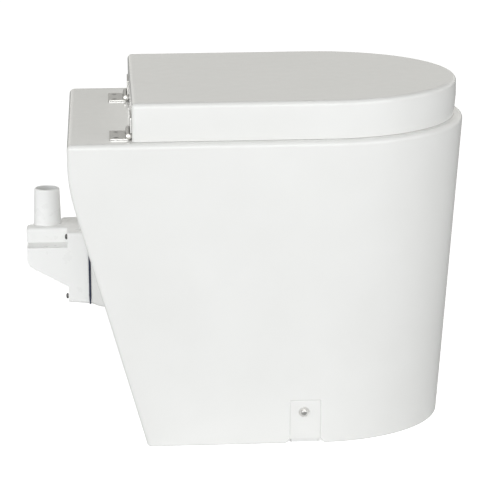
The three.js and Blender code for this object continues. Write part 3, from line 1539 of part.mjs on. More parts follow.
// Containers: the solids container stands against the foot flange, and the tank against it
const footRoom = footWidth - 2 * FOOT_FLANGE;
const solidsTop = chuteBottom + CHUTE_DIP;
const solidsFront = chuteFront + SOLIDS_FRONT_MARGIN;
const solidsPlan = {
  rear: FOOT_REAR + FOOT_FLANGE + SEAT_GAP,
  front: solidsFront,
  width: footRoom - 2 * SOLIDS_SIDE_MARGIN,
  straight: solidsFront - SOLIDS_CORNER,
  corner: SOLIDS_CORNER,
};
const neckTop = spoutBottom + SPOUT_DIP;
const tankTop = neckTop - NECK_HEIGHT;
const tankShoulder = tankTop - TANK_SHOULDER;
const tankFront = footFront - FOOT_FLANGE - TANK_FRONT_MARGIN;
const solidsFrontAt = (z) => solidsFront + (SOLIDS_SPREAD * z) / solidsTop;
const tankPlan = {
  rear: solidsFrontAt(tankShoulder) + SEAT_GAP + TANK_SPREAD,
  front: tankFront,
  width: footRoom - 2 * TANK_SIDE_MARGIN,
  straight: tankFront - TANK_FRONT_LENGTH,
  corner: TANK_CORNER,
};

// An inset below zero spreads the outline outwards.
function solidsContainer() {
  const rimBottom = solidsTop - SOLIDS_RIM_HEIGHT;
  const outer = joined(
    planBlock(solidsPlan, 0, 0, solidsTop, -SOLIDS_SPREAD),
    planBlock(solidsPlan, -SOLIDS_SPREAD - SOLIDS_RIM, rimBottom, solidsTop),
  );
  const inside = loft([
    planRing(solidsPlan, CONTAINER_WALL, CONTAINER_WALL),
    planRing(solidsPlan, CONTAINER_WALL - SOLIDS_SPREAD, solidsTop),
    planRing(solidsPlan, CONTAINER_WALL - SOLIDS_SPREAD, solidsTop + OVERRUN),
  ]);
  return cut(outer, inside);
}

function urineTank() {
  const body = (inset) =>
    loft([
      planRing(tankPlan, inset, inset),
      planRing(tankPlan, inset - TANK_SPREAD, tankShoulder),
      planRing(tankPlan, inset - TANK_SPREAD + TANK_SHOULDER, tankTop - inset),
    ]);
  const neck = (diameter, past) =>
    bar(diameter, [spoutX, 0, tankShoulder], [spoutX, 0, neckTop + past]);
  const shell = joined(body(0), neck(NECK_DIAMETER, 0));
  return cut(shell, body(CONTAINER_WALL), neck(NECK_DIAMETER - 2 * CONTAINER_WALL, OVERRUN));
}

piece("solids_container", solidsContainer(), greyPlastic);
piece("urine_tank", urineTank(), naturalTank);

const footprint = new THREE.Box3().setFromObject(assembly);
assembly.position.x = -(footprint.min.x + footprint.max.x) / 2;

export default toilet;
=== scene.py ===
import math

import bmesh
import bpy
from mathutils import Matrix, Vector


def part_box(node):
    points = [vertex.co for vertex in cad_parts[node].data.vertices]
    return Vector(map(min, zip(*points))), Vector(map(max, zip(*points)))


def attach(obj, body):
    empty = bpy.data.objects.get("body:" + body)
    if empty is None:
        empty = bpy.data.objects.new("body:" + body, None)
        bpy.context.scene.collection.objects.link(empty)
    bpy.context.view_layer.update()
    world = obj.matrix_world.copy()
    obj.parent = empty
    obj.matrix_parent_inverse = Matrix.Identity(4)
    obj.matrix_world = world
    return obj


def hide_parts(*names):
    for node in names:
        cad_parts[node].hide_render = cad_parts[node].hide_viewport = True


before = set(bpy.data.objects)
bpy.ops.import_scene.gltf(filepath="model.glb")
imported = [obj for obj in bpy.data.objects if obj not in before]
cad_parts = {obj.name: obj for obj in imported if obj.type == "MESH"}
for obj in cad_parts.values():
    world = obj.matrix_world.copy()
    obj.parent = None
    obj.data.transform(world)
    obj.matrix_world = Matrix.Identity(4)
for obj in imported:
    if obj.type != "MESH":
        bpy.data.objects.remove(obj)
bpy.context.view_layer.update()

# Lengths below are millimetres in the toilet's own layout: x runs forward from the deck's rear
# edge, y across, z up from the floor. MM and REAR_EDGE bring them into the frame.
MM = 0.001
REAR_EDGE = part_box("pedestal_shell")[0].x
OVERRUN = 2.0
SEAT_GAP = 0.3
RIGHT_ANGLE = math.pi / 2

CORNER_STEPS = 8
FRONT_STEPS = 72
EDGE_STEPS = 8
ROUND_FACETS = 64
BARREL_FACETS = 48
SCREW_FACETS = 40
HOLE_FACETS = 32
PILOT_FACETS = 24
SHARP_ANGLE = 35
WELD_DISTANCE = 1e-6
UP = (0, 0, 1)
REARWARD = (-1, 0, 0)
NEARWARD = (0, -1, 0)
SIDES = {"near": -1, "far": 1}

# Pedestal
DECK_HEIGHT = 400.0
DECK_FRONT = 508.9
DECK_WIDTH = 388.6
DECK_STRAIGHT = 322.0
DECK_THICKNESS = 6.0
FOOT_REAR = 93.0
FOOT_FRONT = 479.7
FOOT_WIDTH = 304.6
FOOT_STRAIGHT = 314.0
FOOT_FLANGE = 18.0
FOOT_FLANGE_THICKNESS = 4.0
KNEE_HEIGHT = 345.0
KNEE_RADIUS = 240.0
KNEE_STEPS = 14
PEDESTAL_WALL = 5.0
PEDESTAL_EDGE = 7.0
PEDESTAL_FOOT_EDGE = 2.5
PEDESTAL_CORNER = 6.0
LEAST_CORNER_SHARE = 0.3
DECK_OPENING = dict(rear=125.0, front=462.0, width=280.0, straight=322.0, corner=30.0)
DECK_CEILING = DECK_HEIGHT - DECK_THICKNESS

# Side recess and its screw
RECESS = (273.6, 312.5)
RECESS_HEIGHT = 58.9
RECESS_DEPTH = 2.0
RECESS_CORNER = 1.3
RECESS_DRAFT = 1.6
RECESS_MOUTH = 4 * RECESS_DRAFT
RECESS_FLARE = 8.0
RECESS_FLOOR_GAP = 5.2
SIDE_SCREW = (291.5, 42.6)
SIDE_SCREW_SIZES = dict(head=7.6, height=2.8, shank=4.5, length=16.0, cross_share=0.66)
SIDE_SCREW_HOLE = SIDE_SCREW_SIZES["shank"] + 2 * SEAT_GAP
WASHER_DIAMETER = 13.0
WASHER_THICKNESS = 1.2
WASHER_EDGE = 0.2
WASHER_CUT = (-1.0, 3.0)

# Vent collar, gasket and fan housing
COLLAR_FACE = 25.2
COLLAR_HEIGHT = (160.5, 257.5)
COLLAR_WIDTH = 93.0
COLLAR_WALL = 4.0
COLLAR_CORNER = 4.0
COLLAR_REACH = 40.0
COLLAR_FLARE = 4.2
COLLAR_FLARE_RUN = 19.0
COLLAR_BOSS_DEPTH = 8.0
VENT_BORE = 64.0
VENT_MIDDLE = 209.5
GASKET_X = (22.6, 24.9)
GASKET_WIDTH = 95.0
GASKET_HEIGHT = (159.5, 258.0)
GASKET_EDGE = 0.3
HOUSING_X = (-4.0, 22.3)
HOUSING_HEIGHT = (163.0, 255.3)
HOUSING_WIDTH = 92.0
HOUSING_WALL = 3.0
HOUSING_DRAFT = 2.6
FLANGE_CORNER = 4.0
SCOOP_REAR = -56.0
SCOOP_SHELF = 236.0
SCOOP_KNEE = 212.5
SCOOP_FOOT = 183.6
SCOOP_EDGE = 14.0
SCOOP_ROUND = 1.2
SHELF_EDGE = 1.5
LEAST_SHELF_EDGE = 0.2
HOUSING_EDGE = 0.15
SCREW_SPACING = 78.7
HOUSING_SCREW_SIZES = dict(head=7.0, height=3.0, shank=4.0)
HOUSING_SCREW_HOLE = HOUSING_SCREW_SIZES["shank"] + 2 * SEAT_GAP
HOUSING_SCREW_LENGTH = 38.0
SCREW_BOSS = 9.0
FAN_BOSS = 7.5
FAN_HOLE_SPACING = 60.0
FAN_REAR = 5.0
FAN_SCREW_HOLE = 3.4

# Outlet cap and nozzle
CAP_TOP = 255.3
CAP_X = (-57.0, -4.05)
CAP_NEAR = -17.0
CAP_MIDDLE = 9.0
CAP_FAR = 46.0
CAP_STEP = (-13.0, 30.0)
CAP_WALL = 2.5
CAP_CORNER = 4.5
CAP_EDGE_CORNER = 1.5
CAP_LEAST_CORNER = 0.3
CAP_TOP_EDGE = 4.6
CAP_FOOT_EDGE = 0.2
CAP_GAP = 0.06
CAP_SEAT = 39.0
CAP_CUT_REACH = 5.0
CAP_SCREW = 1
NOZZLE = (-30.0, 12.0)
NOZZLE_BASE = 35.3
NOZZLE_TIP = 32.8
NOZZLE_HEIGHT = 47.2
NOZZLE_WALL = 2.0
NOZZLE_LIP = 2.6
NOZZLE_FOOT = 0.9
MOUTH_ROUND = 1.0
MOUTH_DEPTH = 0.9
SHELF_OPENING_X = (-50.0, -11.0)
SHELF_OPENING_Y = (-10.0, 28.0)
SHELF_OPENING_CORNER = 6.0
SHELF_CUT_DEPTH = 6.0
SPIGOT_DEPTH = 2.4
SPIGOT_WALL = 2.0

# Lid
LID_PLAN = dict(rear=79.4, front=499.6, width=368.0, straight=322.0, corner=6.0)
LID_HEIGHT = (400.2, 448.0)
LID_WALL = 3.5
LID_EDGE = 6.0
LID_FOOT_EDGE = 0.3
LID_DRAFT = 2.4
LID_DRAFT_TOP = 425.6
LINER_BOTTOM = 430.0
LINER_WALL = 3.0
LINER_EDGE = 1.2

# Hinges
HINGE_X = 75.5
HINGE_Z = 404.5
HINGES = {"near": -141.0, "far": 114.0}
LEAF_LENGTH = 52.0
LEAF_THICKNESS = 1.5
LEAF_CORNER = 1.6
LEAF_EDGE = 0.16
DECK_LEAF_REACH = 23.3
LID_LEAF_REACH = 23.2
BARREL_DIAMETER = 6.8
BARREL_SLOT = 0.9
BARREL_CLEARANCE = BARREL_DIAMETER / 2 + BARREL_SLOT
STRAP_OVERLAP = 0.01
LID_LEAF_OFFSET = 2.1
DECK_LEAF_OFFSET = 2.7
KNUCKLES = 5
KNUCKLE_GAP = 0.3
PIN_DIAMETER = 3.4
PIN_HEAD = 7.4
PIN_HEAD_RIM = 0.7
PIN_DOME = 1.9
PIN_DOME_STEPS = 9
LEAF_SCREW_SIZES = dict(head=6.4, height=0, shank=3.0, length=10.0)
LEAF_SCREW_HOLE = LEAF_SCREW_SIZES["shank"] + 2 * SEAT_GAP
LEAF_HOLE_DEPTH = 4.0
COUNTERSINK_GAP = 0.12
LEAF_SCREW_SPACING = 34.4
DECK_SCREW_PLACE = (-15.1, -DECK_LEAF_OFFSET)
LID_SCREW_PLACE = (LID_LEAF_OFFSET, 14.7)
END_FACING = 0.8

# Seat, bowl and containers
SEAT_PLAN = dict(rear=92.0, front=487.0, width=336.0, straight=322.0, corner=38.0)
HOLE_PLAN = dict(rear=172.0, front=446.0, width=214.0, straight=306.0, corner=98.0)
SEAT_HEIGHT = (403.1, 423.0)
SEAT_EDGE = 7.0
SEAT_DISH = 4.0
SEAT_FOOT_EDGE = 1.5
SEAT_BOSS = 14.0
SEAT_BOSS_RISE = 7.0
DISH_START_SHARE = 0.6
SEAT_SCREW = (104.0, 62.0)
SEAT_SCREW_SIZES = dict(head=9.0, height=0, shank=4.5, length=33.0)
SEAT_SCREW_HOLE = SEAT_SCREW_SIZES["shank"] + 2 * SEAT_GAP
CHUTE_PLAN = dict(rear=158.0, front=289.0, width=196.0, straight=265.0, corner=24.0)
BASIN_PLAN = dict(rear=297.0, front=436.0, width=190.0, straight=366.5, corner=24.0)
BOWL_HEIGHT = (400.3, 402.8)
BOWL_REACH = 12.0
BOWL_CLEARANCE = 7.0
BOWL_WALL = 2.5
BOWL_FILLET = 3.0
BOWL_LIP = 1.2
TUB_TAPER = 16.0
TUB_DEPTH = 50.0
CHUTE_TAPER = 7.0
CHUTE_DEPTH = 54.0
BASIN_DEPTH = 32.0
SPOUT_X = 385.0
SPOUT_DIAMETER = 24.0
SPOUT_DEPTH = 36.0
WEIR_THICKNESS = 3.0
WEIR_HEIGHT = 30.0
WEIR_EDGE = 1.0
TUB_FLOOR = BOWL_HEIGHT[1] - TUB_DEPTH
TUB_FLOOR_TOP = TUB_FLOOR + BOWL_WALL
CHUTE_LOW = TUB_FLOOR - CHUTE_DEPTH
BASIN_LOW = TUB_FLOOR - BASIN_DEPTH
BASIN_SHOULDER = TUB_FLOOR - BASIN_DEPTH / 4


def lerp(a, b, share):
    return a + (b - a) * share


def eased(share):
    """The share of a climb that starts and ends level."""
    return 3 * share**2 - 2 * share**3


def spaced(start, end, steps):
    return [lerp(start, end, i / steps) for i in range(steps + 1)]


def rolled(size, limit=RIGHT_ANGLE):
    """Steps round an arc, as pairs: size less its cosine part and size less its sine part."""
    pairs = []
    for i in range(EDGE_STEPS + 1):
        turn = limit * i / EDGE_STEPS
        pairs.append((size * (1 - math.cos(turn)), size * (1 - math.sin(turn))))
    return pairs


def rounded_start(start, size):
    """Pairs of station and inset that round the edge where a form starts."""
    return [(start + run, inset) for run, inset in rolled(size)]


def rounded_end(end, size):
    """Pairs of station and inset that round the edge where a form ends."""
    return [(end - run, inset) for inset, run in rolled(size)]


def arc(centre, radii, start, end, steps=EDGE_STEPS):
    """Points on an ellipse's arc, by angles in degrees."""
    points = []
    for angle in spaced(start, end, steps):
        turn = math.radians(angle)
        x, y = centre[0] + radii[0] * math.cos(turn), centre[1] + radii[1] * math.sin(turn)
        points.append((x, y))
    return points


def circle(radius, facets):
    return arc((0, 0), (radius, radius), 0, 360, facets)[:-1]


def mesh_piece(name, points, faces):
    """A mesh object from millimetre points, standing in the layout's frame."""
    mesh = bpy.data.meshes.new(name)
    mesh.from_pydata([Vector(p) * MM for p in points], [], faces)
    piece = bpy.data.objects.new(name, mesh)
    bpy.context.scene.collection.objects.link(piece)
    piece.location.x = REAR_EDGE
    bpy.context.view_layer.update()
    return piece


def in_frame(point):
    return Vector((REAR_EDGE + point[0] * MM, point[1] * MM, point[2] * MM))


def place(piece, point, direction=UP):
    """Stands a piece built about its own +Z at a point of the layout."""
    turn = Vector(UP).rotation_difference(Vector(direction))
    piece.matrix_world = Matrix.Translation(in_frame(point)) @ turn.to_matrix().to_4x4()
    bpy.context.view_layer.update()
    return piece


def bake(piece, modifier):
    """Applies one modifier to the piece's mesh."""
    graph = bpy.context.evaluated_depsgraph_get()
    mesh = bpy.data.meshes.new_from_object(piece.evaluated_get(graph))
    piece.modifiers.remove(modifier)
    piece.data = mesh
    return piece


def combine(piece, others, operation):
    for other in others:
        modifier = piece.modifiers.new("combine", "BOOLEAN")
        modifier.operation = operation
        modifier.solver = "EXACT"
        modifier.object = other
        bpy.context.view_layer.update()
        bake(piece, modifier)
        bpy.data.objects.remove(other)
    return piece


def cut(piece, *tools):
    return combine(piece, tools, "DIFFERENCE")


def joined(piece, *others):
    return combine(piece, others, "UNION")


def loft(name, rings):
    """A closed skin over rings with equal counts, counter-clockwise as seen from the last."""
    count = len(rings[0])
    points = [p for ring in rings for p in ring]
    faces = []
    for level in range(len(rings) - 1):
        for i in range(count):
            a = level * count + i
            b = level * count + (i + 1) % count
            faces.append((a, b, b + count, a + count))
    top = (len(rings) - 1) * count
    faces.append(tuple(range(count - 1, -1, -1)))
    faces.append(tuple(range(top, top + count)))
    return mesh_piece(name, points, faces)


def plan_ring(plan, inset, z):
    """The moulding outline: straight rear with round corners, straight sides, elliptic front."""
    corner = plan["corner"]
    radius = max(corner - inset, corner * LEAST_CORNER_SHARE)
    half = plan["width"] / 2 - inset
    back = plan["rear"] + inset
    straight = plan["straight"]
    reach = plan["front"] - inset - straight
    x, y, round_corner = back + radius, half - radius, (radius, radius)
    ring = arc((x, -y), round_corner, 180, 270, CORNER_STEPS)
    ring += arc((straight, 0), (reach, half), -90, 90, FRONT_STEPS)
    ring += arc((x, y), round_corner, 90, 180, CORNER_STEPS)
    return [(x, y, z) for x, y in ring]


def plan_block(name, plan, inset, z0, z1, top_inset=None):
    top = inset if top_inset is None else top_inset
    return loft(name, [plan_ring(plan, inset, z0), plan_ring(plan, top, z1)])


def pushed(name, outline, along, span):
    """An outline of (u, v) points pushed along x, y or z between two values."""
    fit = {
        "x": lambda u, v, w: (w, u, v),
        "y": lambda u, v, w: (u, -w, v),
        "z": lambda u, v, w: (u, v, w),
    }[along]
    low, high = span if along != "y" else (-span[1], -span[0])
    return loft(name, [[fit(u, v, w) for u, v in outline] for w in (low, high)])


def rounded_rectangle(u_span, v_span, radius):
    (u0, u1), (v0, v1) = u_span, v_span
    points = []
    corners = ((u1, v0, 270, -1, 1), (u1, v1, 0, -1, -1), (u0, v1, 90, 1, -1), (u0, v0, 180, 1, 1))
    for u, v, start, du, dv in corners:
        centre = (u + du * radius, v + dv * radius)
        points += arc(centre, (radius, radius), start, start + 90, CORNER_STEPS)
    return points


def rounded_polygon(corners):
    """Points of a polygon given as (u, v, radius), with arcs at its corners."""
    points = []
    for i, (u, v, radius) in enumerate(corners):
        if not radius:
            points.append((u, v))
            continue
        here = Vector((u, v))
        back = (Vector(corners[i - 1][:2]) - here).normalized()
        ahead = (Vector(corners[(i + 1) % len(corners)][:2]) - here).normalized()
        half = back.angle(ahead) / 2
        centre = here + (back + ahead).normalized() * (radius / math.sin(half))
        start = here + back * (radius / math.tan(half)) - centre
        sweep = math.pi - 2 * half
        sign = 1 if back.cross(ahead) < 0 else -1
        for k in range(CORNER_STEPS + 1):
            turn = Matrix.Rotation(sign * sweep * k / CORNER_STEPS, 2)
            points.append(tuple(centre + turn @ start))
    return points


def bar(name, diameter, start, end, facets=ROUND_FACETS):
    """A round bar between two points of the layout."""
    start, end = Vector(start), Vector(end)
    along = end - start
    outline = circle(diameter / 2, facets)
    rings = [[(u, v, w) for u, v in outline] for w in (0, along.length)]
    return place(loft(name, rings), start, along.normalized())


def turned(name, profile, facets=ROUND_FACETS):
    """A profile of (radius, height) points, from the axis to the axis, turned about +Z."""
    points, faces = [(0, 0, profile[0][1])], []
    middle = profile[1:-1]
    for radius, height in middle:
        points += [(x, y, height) for x, y in circle(radius, facets)]
    points.append((0, 0, profile[-1][1]))
    last = len(points) - 1
    for i in range(facets):
        after = (i + 1) % facets
        faces.append((0, 1 + after, 1 + i))
        for level in range(len(middle) - 1):
            a = 1 + level * facets + i
            b = 1 + level * facets + after
            faces.append((a, b, b + facets, a + facets))
        top = 1 + (len(middle) - 1) * facets
        faces.append((top + i, top + after, last))
    return mesh_piece(name, points, faces)


def disc(name, radius, low, high):
    return turned(name, [(0, low), (radius, low), (radius, high), (0, high)])


def countersink(head, shank, depth):
    """A cut for a flat screw head and its shank, by their radii, under a surface at 0."""
    profile = [(0, -depth), (shank, -depth), (shank, shank - head), (head, 0)]
    return turned("countersink", profile + [(head, OVERRUN), (0, OVERRUN)])


def soften(piece, width=0.0, segments=2):
    """Rounds the sharp edges to a width and smooths the shading between them."""
    sharp = math.radians(SHARP_ANGLE)
    if width:
        modifier = piece.modifiers.new("edges", "BEVEL")
        modifier.width = width * MM
        modifier.segments = segments
        modifier.limit_method = "ANGLE"
        modifier.angle_limit = sharp
        modifier.miter_outer = "MITER_ARC"
        bake(piece, modifier)
    work = bmesh.new()
    work.from_mesh(piece.data)
    bmesh.ops.remove_doubles(work, verts=work.verts, dist=WELD_DISTANCE)
    for face in work.faces:
        face.smooth = True
    for edge in work.edges:
        edge.smooth = edge.is_manifold and edge.calc_face_angle(0) < sharp
    work.to_mesh(piece.data)
    work.free()
    modifier = piece.modifiers.new("normals", "WEIGHTED_NORMAL")
    modifier.keep_sharp = True
    modifier.weight = 80
    return bake(piece, modifier)


# Finishes
NOISE_RANGE = (0.3, 0.7)
METAL_TINT = (0.8, 0.8, 0.8, 1)
MOULDING_IOR = 1.49


def set_inputs(node, values):
    for key, value in values.items():
        node.inputs[key].default_value = value
    return node


def add_node(nodes, kind, values, **settings):
    """A new node with its settings, then its values by input."""
    node = nodes.new(kind)
    for setting, value in settings.items():
        setattr(node, setting, value)
    return set_inputs(node, values)


class Finish:
    """A node material, built from object-space noise on one Principled shader."""

    def __init__(self, name, color, roughness, metallic=0.0):
        self.material = bpy.data.materials.new(name)
        self.material.use_nodes = True
        self.nodes = self.material.node_tree.nodes
        self.links = self.material.node_tree.links
        self.shader = self.nodes["Principled BSDF"]
        values = {"Base Color": (*color, 1), "Roughness": roughness, "Metallic": metallic}
        set_inputs(self.shader, values)
        if metallic:
            set_inputs(self.shader, {"Specular Tint": METAL_TINT})
        self.place = self.nodes.new("ShaderNodeTexCoord").outputs["Object"]
        self.last_normal = None

    def noise(self, scale, detail, stretch=(1, 1, 1)):
        mapping = add_node(self.nodes, "ShaderNodeMapping", {"Scale": stretch})
        values = {"Scale": scale, "Detail": detail}
        texture = add_node(self.nodes, "ShaderNodeTexNoise", values)
        self.links.new(self.place, mapping.inputs["Vector"])
        self.links.new(mapping.outputs["Vector"], texture.inputs["Vector"])
        return texture.outputs["Fac"]

    def spread(self, value, low, high):
        """Maps a noise value's usual range onto low to high."""
        least, most = NOISE_RANGE
        values = {"From Min": least, "From Max": most, "To Min": low, "To Max": high}
        remap = add_node(self.nodes, "ShaderNodeMapRange", values)
        self.links.new(value, remap.inputs["Value"])
        return remap.outputs["Result"]

    def vary_roughness(self, value, low, high):
        self.links.new(self.spread(value, low, high), self.shader.inputs["Roughness"])
        return self

    def vary_color(self, value, dark, light):
        values = {"A": (*dark, 1), "B": (*light, 1)}
        mix = add_node(self.nodes, "ShaderNodeMix", values, data_type="RGBA")
        self.links.new(self.spread(value, 0, 1), mix.inputs["Factor"])
        self.links.new(mix.outputs["Result"], self.shader.inputs["Base Color"])
        return self

    def bump(self, value, depth, strength=1.0):
        values = {"Distance": depth * MM, "Strength": strength}
        node = add_node(self.nodes, "ShaderNodeBump", values)
        self.links.new(value, node.inputs["Height"])
        if self.last_normal:
            self.links.new(self.last_normal, node.inputs["Normal"])
        self.last_normal = node.outputs["Normal"]
        self.links.new(self.last_normal, self.shader.inputs["Normal"])
        return self


def white_moulding(name, light, dark, roughness, orange_peel):
    finish = Finish(name, light, roughness)
    set_inputs(finish.shader, {"IOR": MOULDING_IOR})
    finish.vary_color(finish.noise(scale=9, detail=2), dark, light)
    patches = finish.noise(scale=60, detail=4)
    finish.vary_roughness(patches, low=roughness * 0.85, high=roughness * 1.2)
    finish.bump(finish.noise(scale=420, detail=2), depth=orange_peel)
    finish.bump(finish.noise(scale=3200, detail=2), depth=orange_peel / 12)
    return finish.material


def metal(name, light, dark, roughness, stretch=(1, 1, 1)):
    finish = Finish(name, light, roughness, metallic=1.0)
    finish.vary_color(finish.noise(scale=260, detail=3), dark, light)
    brushed = finish.noise(scale=900, detail=3, stretch=stretch)
    finish.vary_roughness(brushed, low=roughness * 0.75, high=roughness * 1.3)
    finish.bump(brushed, depth=0.012, strength=0.6)
    return finish.material


def satin(name, light, dark, roughness, grain, depth):
    finish = Finish(name, light, roughness)
    finish.vary_color(finish.noise(scale=30, detail=4), dark, light)
    patches = finish.noise(scale=150, detail=3)
    finish.vary_roughness(patches, low=roughness * 0.88, high=roughness * 1.12)
    finish.bump(finish.noise(scale=grain, detail=3), depth=depth)
    return finish.material


WHITE = white_moulding("white_shell", (0.86, 0.858, 0.842), (0.835, 0.833, 0.815), 0.16, 0.010)
INNER = white_moulding("white_inner", (0.84, 0.84, 0.825), (0.81, 0.81, 0.795), 0.24, 0.014)
# The fan housing and cap take a lighter copy of the white moulding: painted light that makes up
# for the shade they stand in beside the pedestal.
BRIGHTENED_HOUSING_WHITE = white_moulding("white_housing_painted_light", (0.965, 0.965, 0.955), (0.95, 0.95, 0.94), 0.3, 0.01)
# These steels are set darker than bare steel: their own metal colour, with painted shade for
# darker reflections mixed in.
SHADED_STEEL = metal("stainless", (0.37, 0.367, 0.36), (0.3, 0.297, 0.29), 0.26, (1, 12, 1))
SHADED_DARK_STEEL = metal("screw_steel_painted_shade", (0.13, 0.128, 0.125), (0.08, 0.079, 0.077), 0.32)
SHADED_MID_STEEL = metal("mid_steel_painted_shade", (0.56, 0.555, 0.545), (0.5, 0.495, 0.485), 0.3)
# The bright steel is lighter than bare steel: the pins' and washers' own polish, with a painted
# highlight mixed in.
HIGHLIT_STEEL = metal("bright_steel_painted_highlight", (0.93, 0.92, 0.895), (0.86, 0.85, 0.825), 0.14)
ZINC = metal("zinc", (0.8, 0.8, 0.79), (0.72, 0.72, 0.71), 0.3)
COATED = satin("pale_coating", (0.88, 0.88, 0.87), (0.85, 0.85, 0.84), 0.4, 800, 0.02)
GASKET = satin("gasket_rubber", (0.022, 0.026, 0.06), (0.014, 0.016, 0.04), 0.62, 900, 0.03)
BUFFER = satin("pale_rubber", (0.62, 0.62, 0.6), (0.55, 0.55, 0.53), 0.7, 900, 0.02)
GREY = satin("grey_plastic", (0.3, 0.31, 0.325), (0.26, 0.27, 0.285), 0.45, 1100, 0.03)
NATURAL = satin("natural_plastic", (0.78, 0.79, 0.755), (0.72, 0.73, 0.69), 0.4, 700, 0.02)
BLACK = satin("black_plastic", (0.022, 0.022, 0.024), (0.014, 0.014, 0.016), 0.42, 1400, 0.03)


def finished(piece, material, slot, body, *nodes):
    """Gives a piece its material and body, and hides the nodes that it stands for. The slot is not
    used.
    """
    piece.data.materials.clear()
    piece.data.materials.append(material)
    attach(piece, body)
    if nodes:
        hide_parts(*nodes)
    return piece


# Pedestal
REAR_LEAN = math.atan(FOOT_REAR / KNEE_HEIGHT)
KNEE_RUN = KNEE_RADIUS * math.tan(REAR_LEAN / 2)
KNEE_START = KNEE_HEIGHT - KNEE_RUN * math.cos(REAR_LEAN)
KNEE_END = KNEE_HEIGHT + KNEE_RUN
SIDE_LEAN = math.atan((DECK_WIDTH - FOOT_WIDTH) / 2 / DECK_HEIGHT)


def rear_face(z):
    if z <= KNEE_START:
        return FOOT_REAR - z * math.tan(REAR_LEAN)
    if z >= KNEE_END:
        return 0.0
    return KNEE_RADIUS - math.sqrt(KNEE_RADIUS**2 - (KNEE_END - z) ** 2)


def pedestal_ring(z, inset):
    share = z / DECK_HEIGHT
    plan = dict(
        rear=rear_face(z),
        front=lerp(FOOT_FRONT, DECK_FRONT, share),
        width=lerp(FOOT_WIDTH, DECK_WIDTH, share),
        straight=lerp(FOOT_STRAIGHT, DECK_STRAIGHT, share),
        corner=PEDESTAL_CORNER,
    )
    return plan_ring(plan, inset, z)


def side_face(z):
    return lerp(FOOT_WIDTH, DECK_WIDTH, z / DECK_HEIGHT) / 2


def flared_outline(height, corner=0.0, spread=0.0):
    """Side view of an opening at the floor whose lower corners flare out, up to a height."""
    rear, front = RECESS[0] - spread, RECESS[1] + spread
    limit = math.acos(max(1 - height / RECESS_FLARE, 0))
    flare = rolled(RECESS_FLARE, limit)
    points = [(front + RECESS_FLARE, -OVERRUN)] + [(front + across, z) for z, across in flare]
    if corner:
        top, radius = height + spread, corner + spread
        door = [(front, top, radius), (rear, top, radius)]
        door = [(front, RECESS_FLARE, 0)] + door + [(rear, RECESS_FLARE, 0)]
        points += rounded_polygon(door)[1:-1]
    points += [(rear - across, z) for z, across in reversed(flare)]
    return points + [(rear - RECESS_FLARE, -OVERRUN)]


def recess_pocket(side):
    """The recess, with walls that roll over from the outer face and into the sunk one."""
    stations = [(-PEDESTAL_EDGE, RECESS_MOUTH), (-RECESS_DEPTH / 2, RECESS_MOUTH)]
    for i in range(1, 2 * EDGE_STEPS + 1):
        share = i / (2 * EDGE_STEPS)
        stations.append((RECESS_DEPTH * eased(share), RECESS_DRAFT * (0.5 - share)))
    rings = []
    for depth, spread in stations:
        outline = flared_outline(RECESS_HEIGHT, RECESS_CORNER, spread)
        ring = [(x, side * (side_face(z) - depth), z) for x, z in outline]
        rings.append(ring if side > 0 else ring[::-1])
    return loft("pocket", rings)


def recess_tools(side):
    reach = side * (side_face(0) - FOOT_FLANGE - OVERRUN), side * side_face(DECK_HEIGHT)
    slot = pushed("slot", flared_outline(RECESS_FLOOR_GAP), "y", sorted(reach))
    start, end = side_point(side, -OVERRUN), side_point(side, 2 * PEDESTAL_WALL)
    return recess_pocket(side), slot, bar("hole", SIDE_SCREW_HOLE, start, end)


def outward(side):
    return Vector((0, side * math.cos(SIDE_LEAN), -math.sin(SIDE_LEAN)))


def side_point(side, depth):
    x, z = SIDE_SCREW
    return Vector((x, side * side_face(z), z)) - depth * outward(side)


def collar_ring(x, inset):
    run = min(max(x - COLLAR_FACE, 0) / COLLAR_FLARE_RUN, 1)
    spread = COLLAR_FLARE * math.sin(RIGHT_ANGLE * run)
    half = COLLAR_WIDTH / 2 + spread - inset
    heights = (COLLAR_HEIGHT[0] - spread + inset, COLLAR_HEIGHT[1] - inset)
    return [(x, y, z) for y, z in rounded_rectangle((-half, half), heights, COLLAR_CORNER)]


def collar_loft(name, start, inset, end):
    """The collar's flaring sides between two values of x."""
    stations = spaced(start, COLLAR_FACE + COLLAR_FLARE_RUN, EDGE_STEPS) + [end]
    return loft(name, [collar_ring(x, inset) for x in stations])


def screw_corners(spacing):
    signs = ((-1, 1), (1, 1), (1, -1), (-1, -1))
    return [(across * spacing / 2, VENT_MIDDLE + up * spacing / 2) for across, up in signs]


def screw_holes(diameter, spacing, span):
    holes = []
    for y, z in screw_corners(spacing):
        holes.append(bar("hole", diameter, (span[0], y, z), (span[1], y, z), HOLE_FACETS))
    return holes


def collar():
    inner, end = COLLAR_FACE + COLLAR_WALL, COLLAR_FACE + COLLAR_REACH
    body = collar_loft("collar", COLLAR_FACE, 0, end)
    cut(body, collar_loft("hollow", inner, COLLAR_WALL, end + OVERRUN))
    low, high = COLLAR_HEIGHT[0] - COLLAR_REACH, COLLAR_HEIGHT[1]
    inner_low = inner + (high - low) * math.tan(REAR_LEAN)
    outline = [(COLLAR_FACE, low), (inner_low, low), (inner, high), (COLLAR_FACE, high)]
    bounds = pushed("bounds", outline, "y", (-COLLAR_WIDTH, COLLAR_WIDTH))
    combine(body, [bounds], "INTERSECT")
    root = COLLAR_FACE + COLLAR_WALL / 2
    return joined(body, *screw_holes(SCREW_BOSS, SCREW_SPACING, (root, root + COLLAR_BOSS_DEPTH)))


def leaf_screw_rows(middle):
    return middle - LEAF_SCREW_SPACING / 2, middle + LEAF_SCREW_SPACING / 2


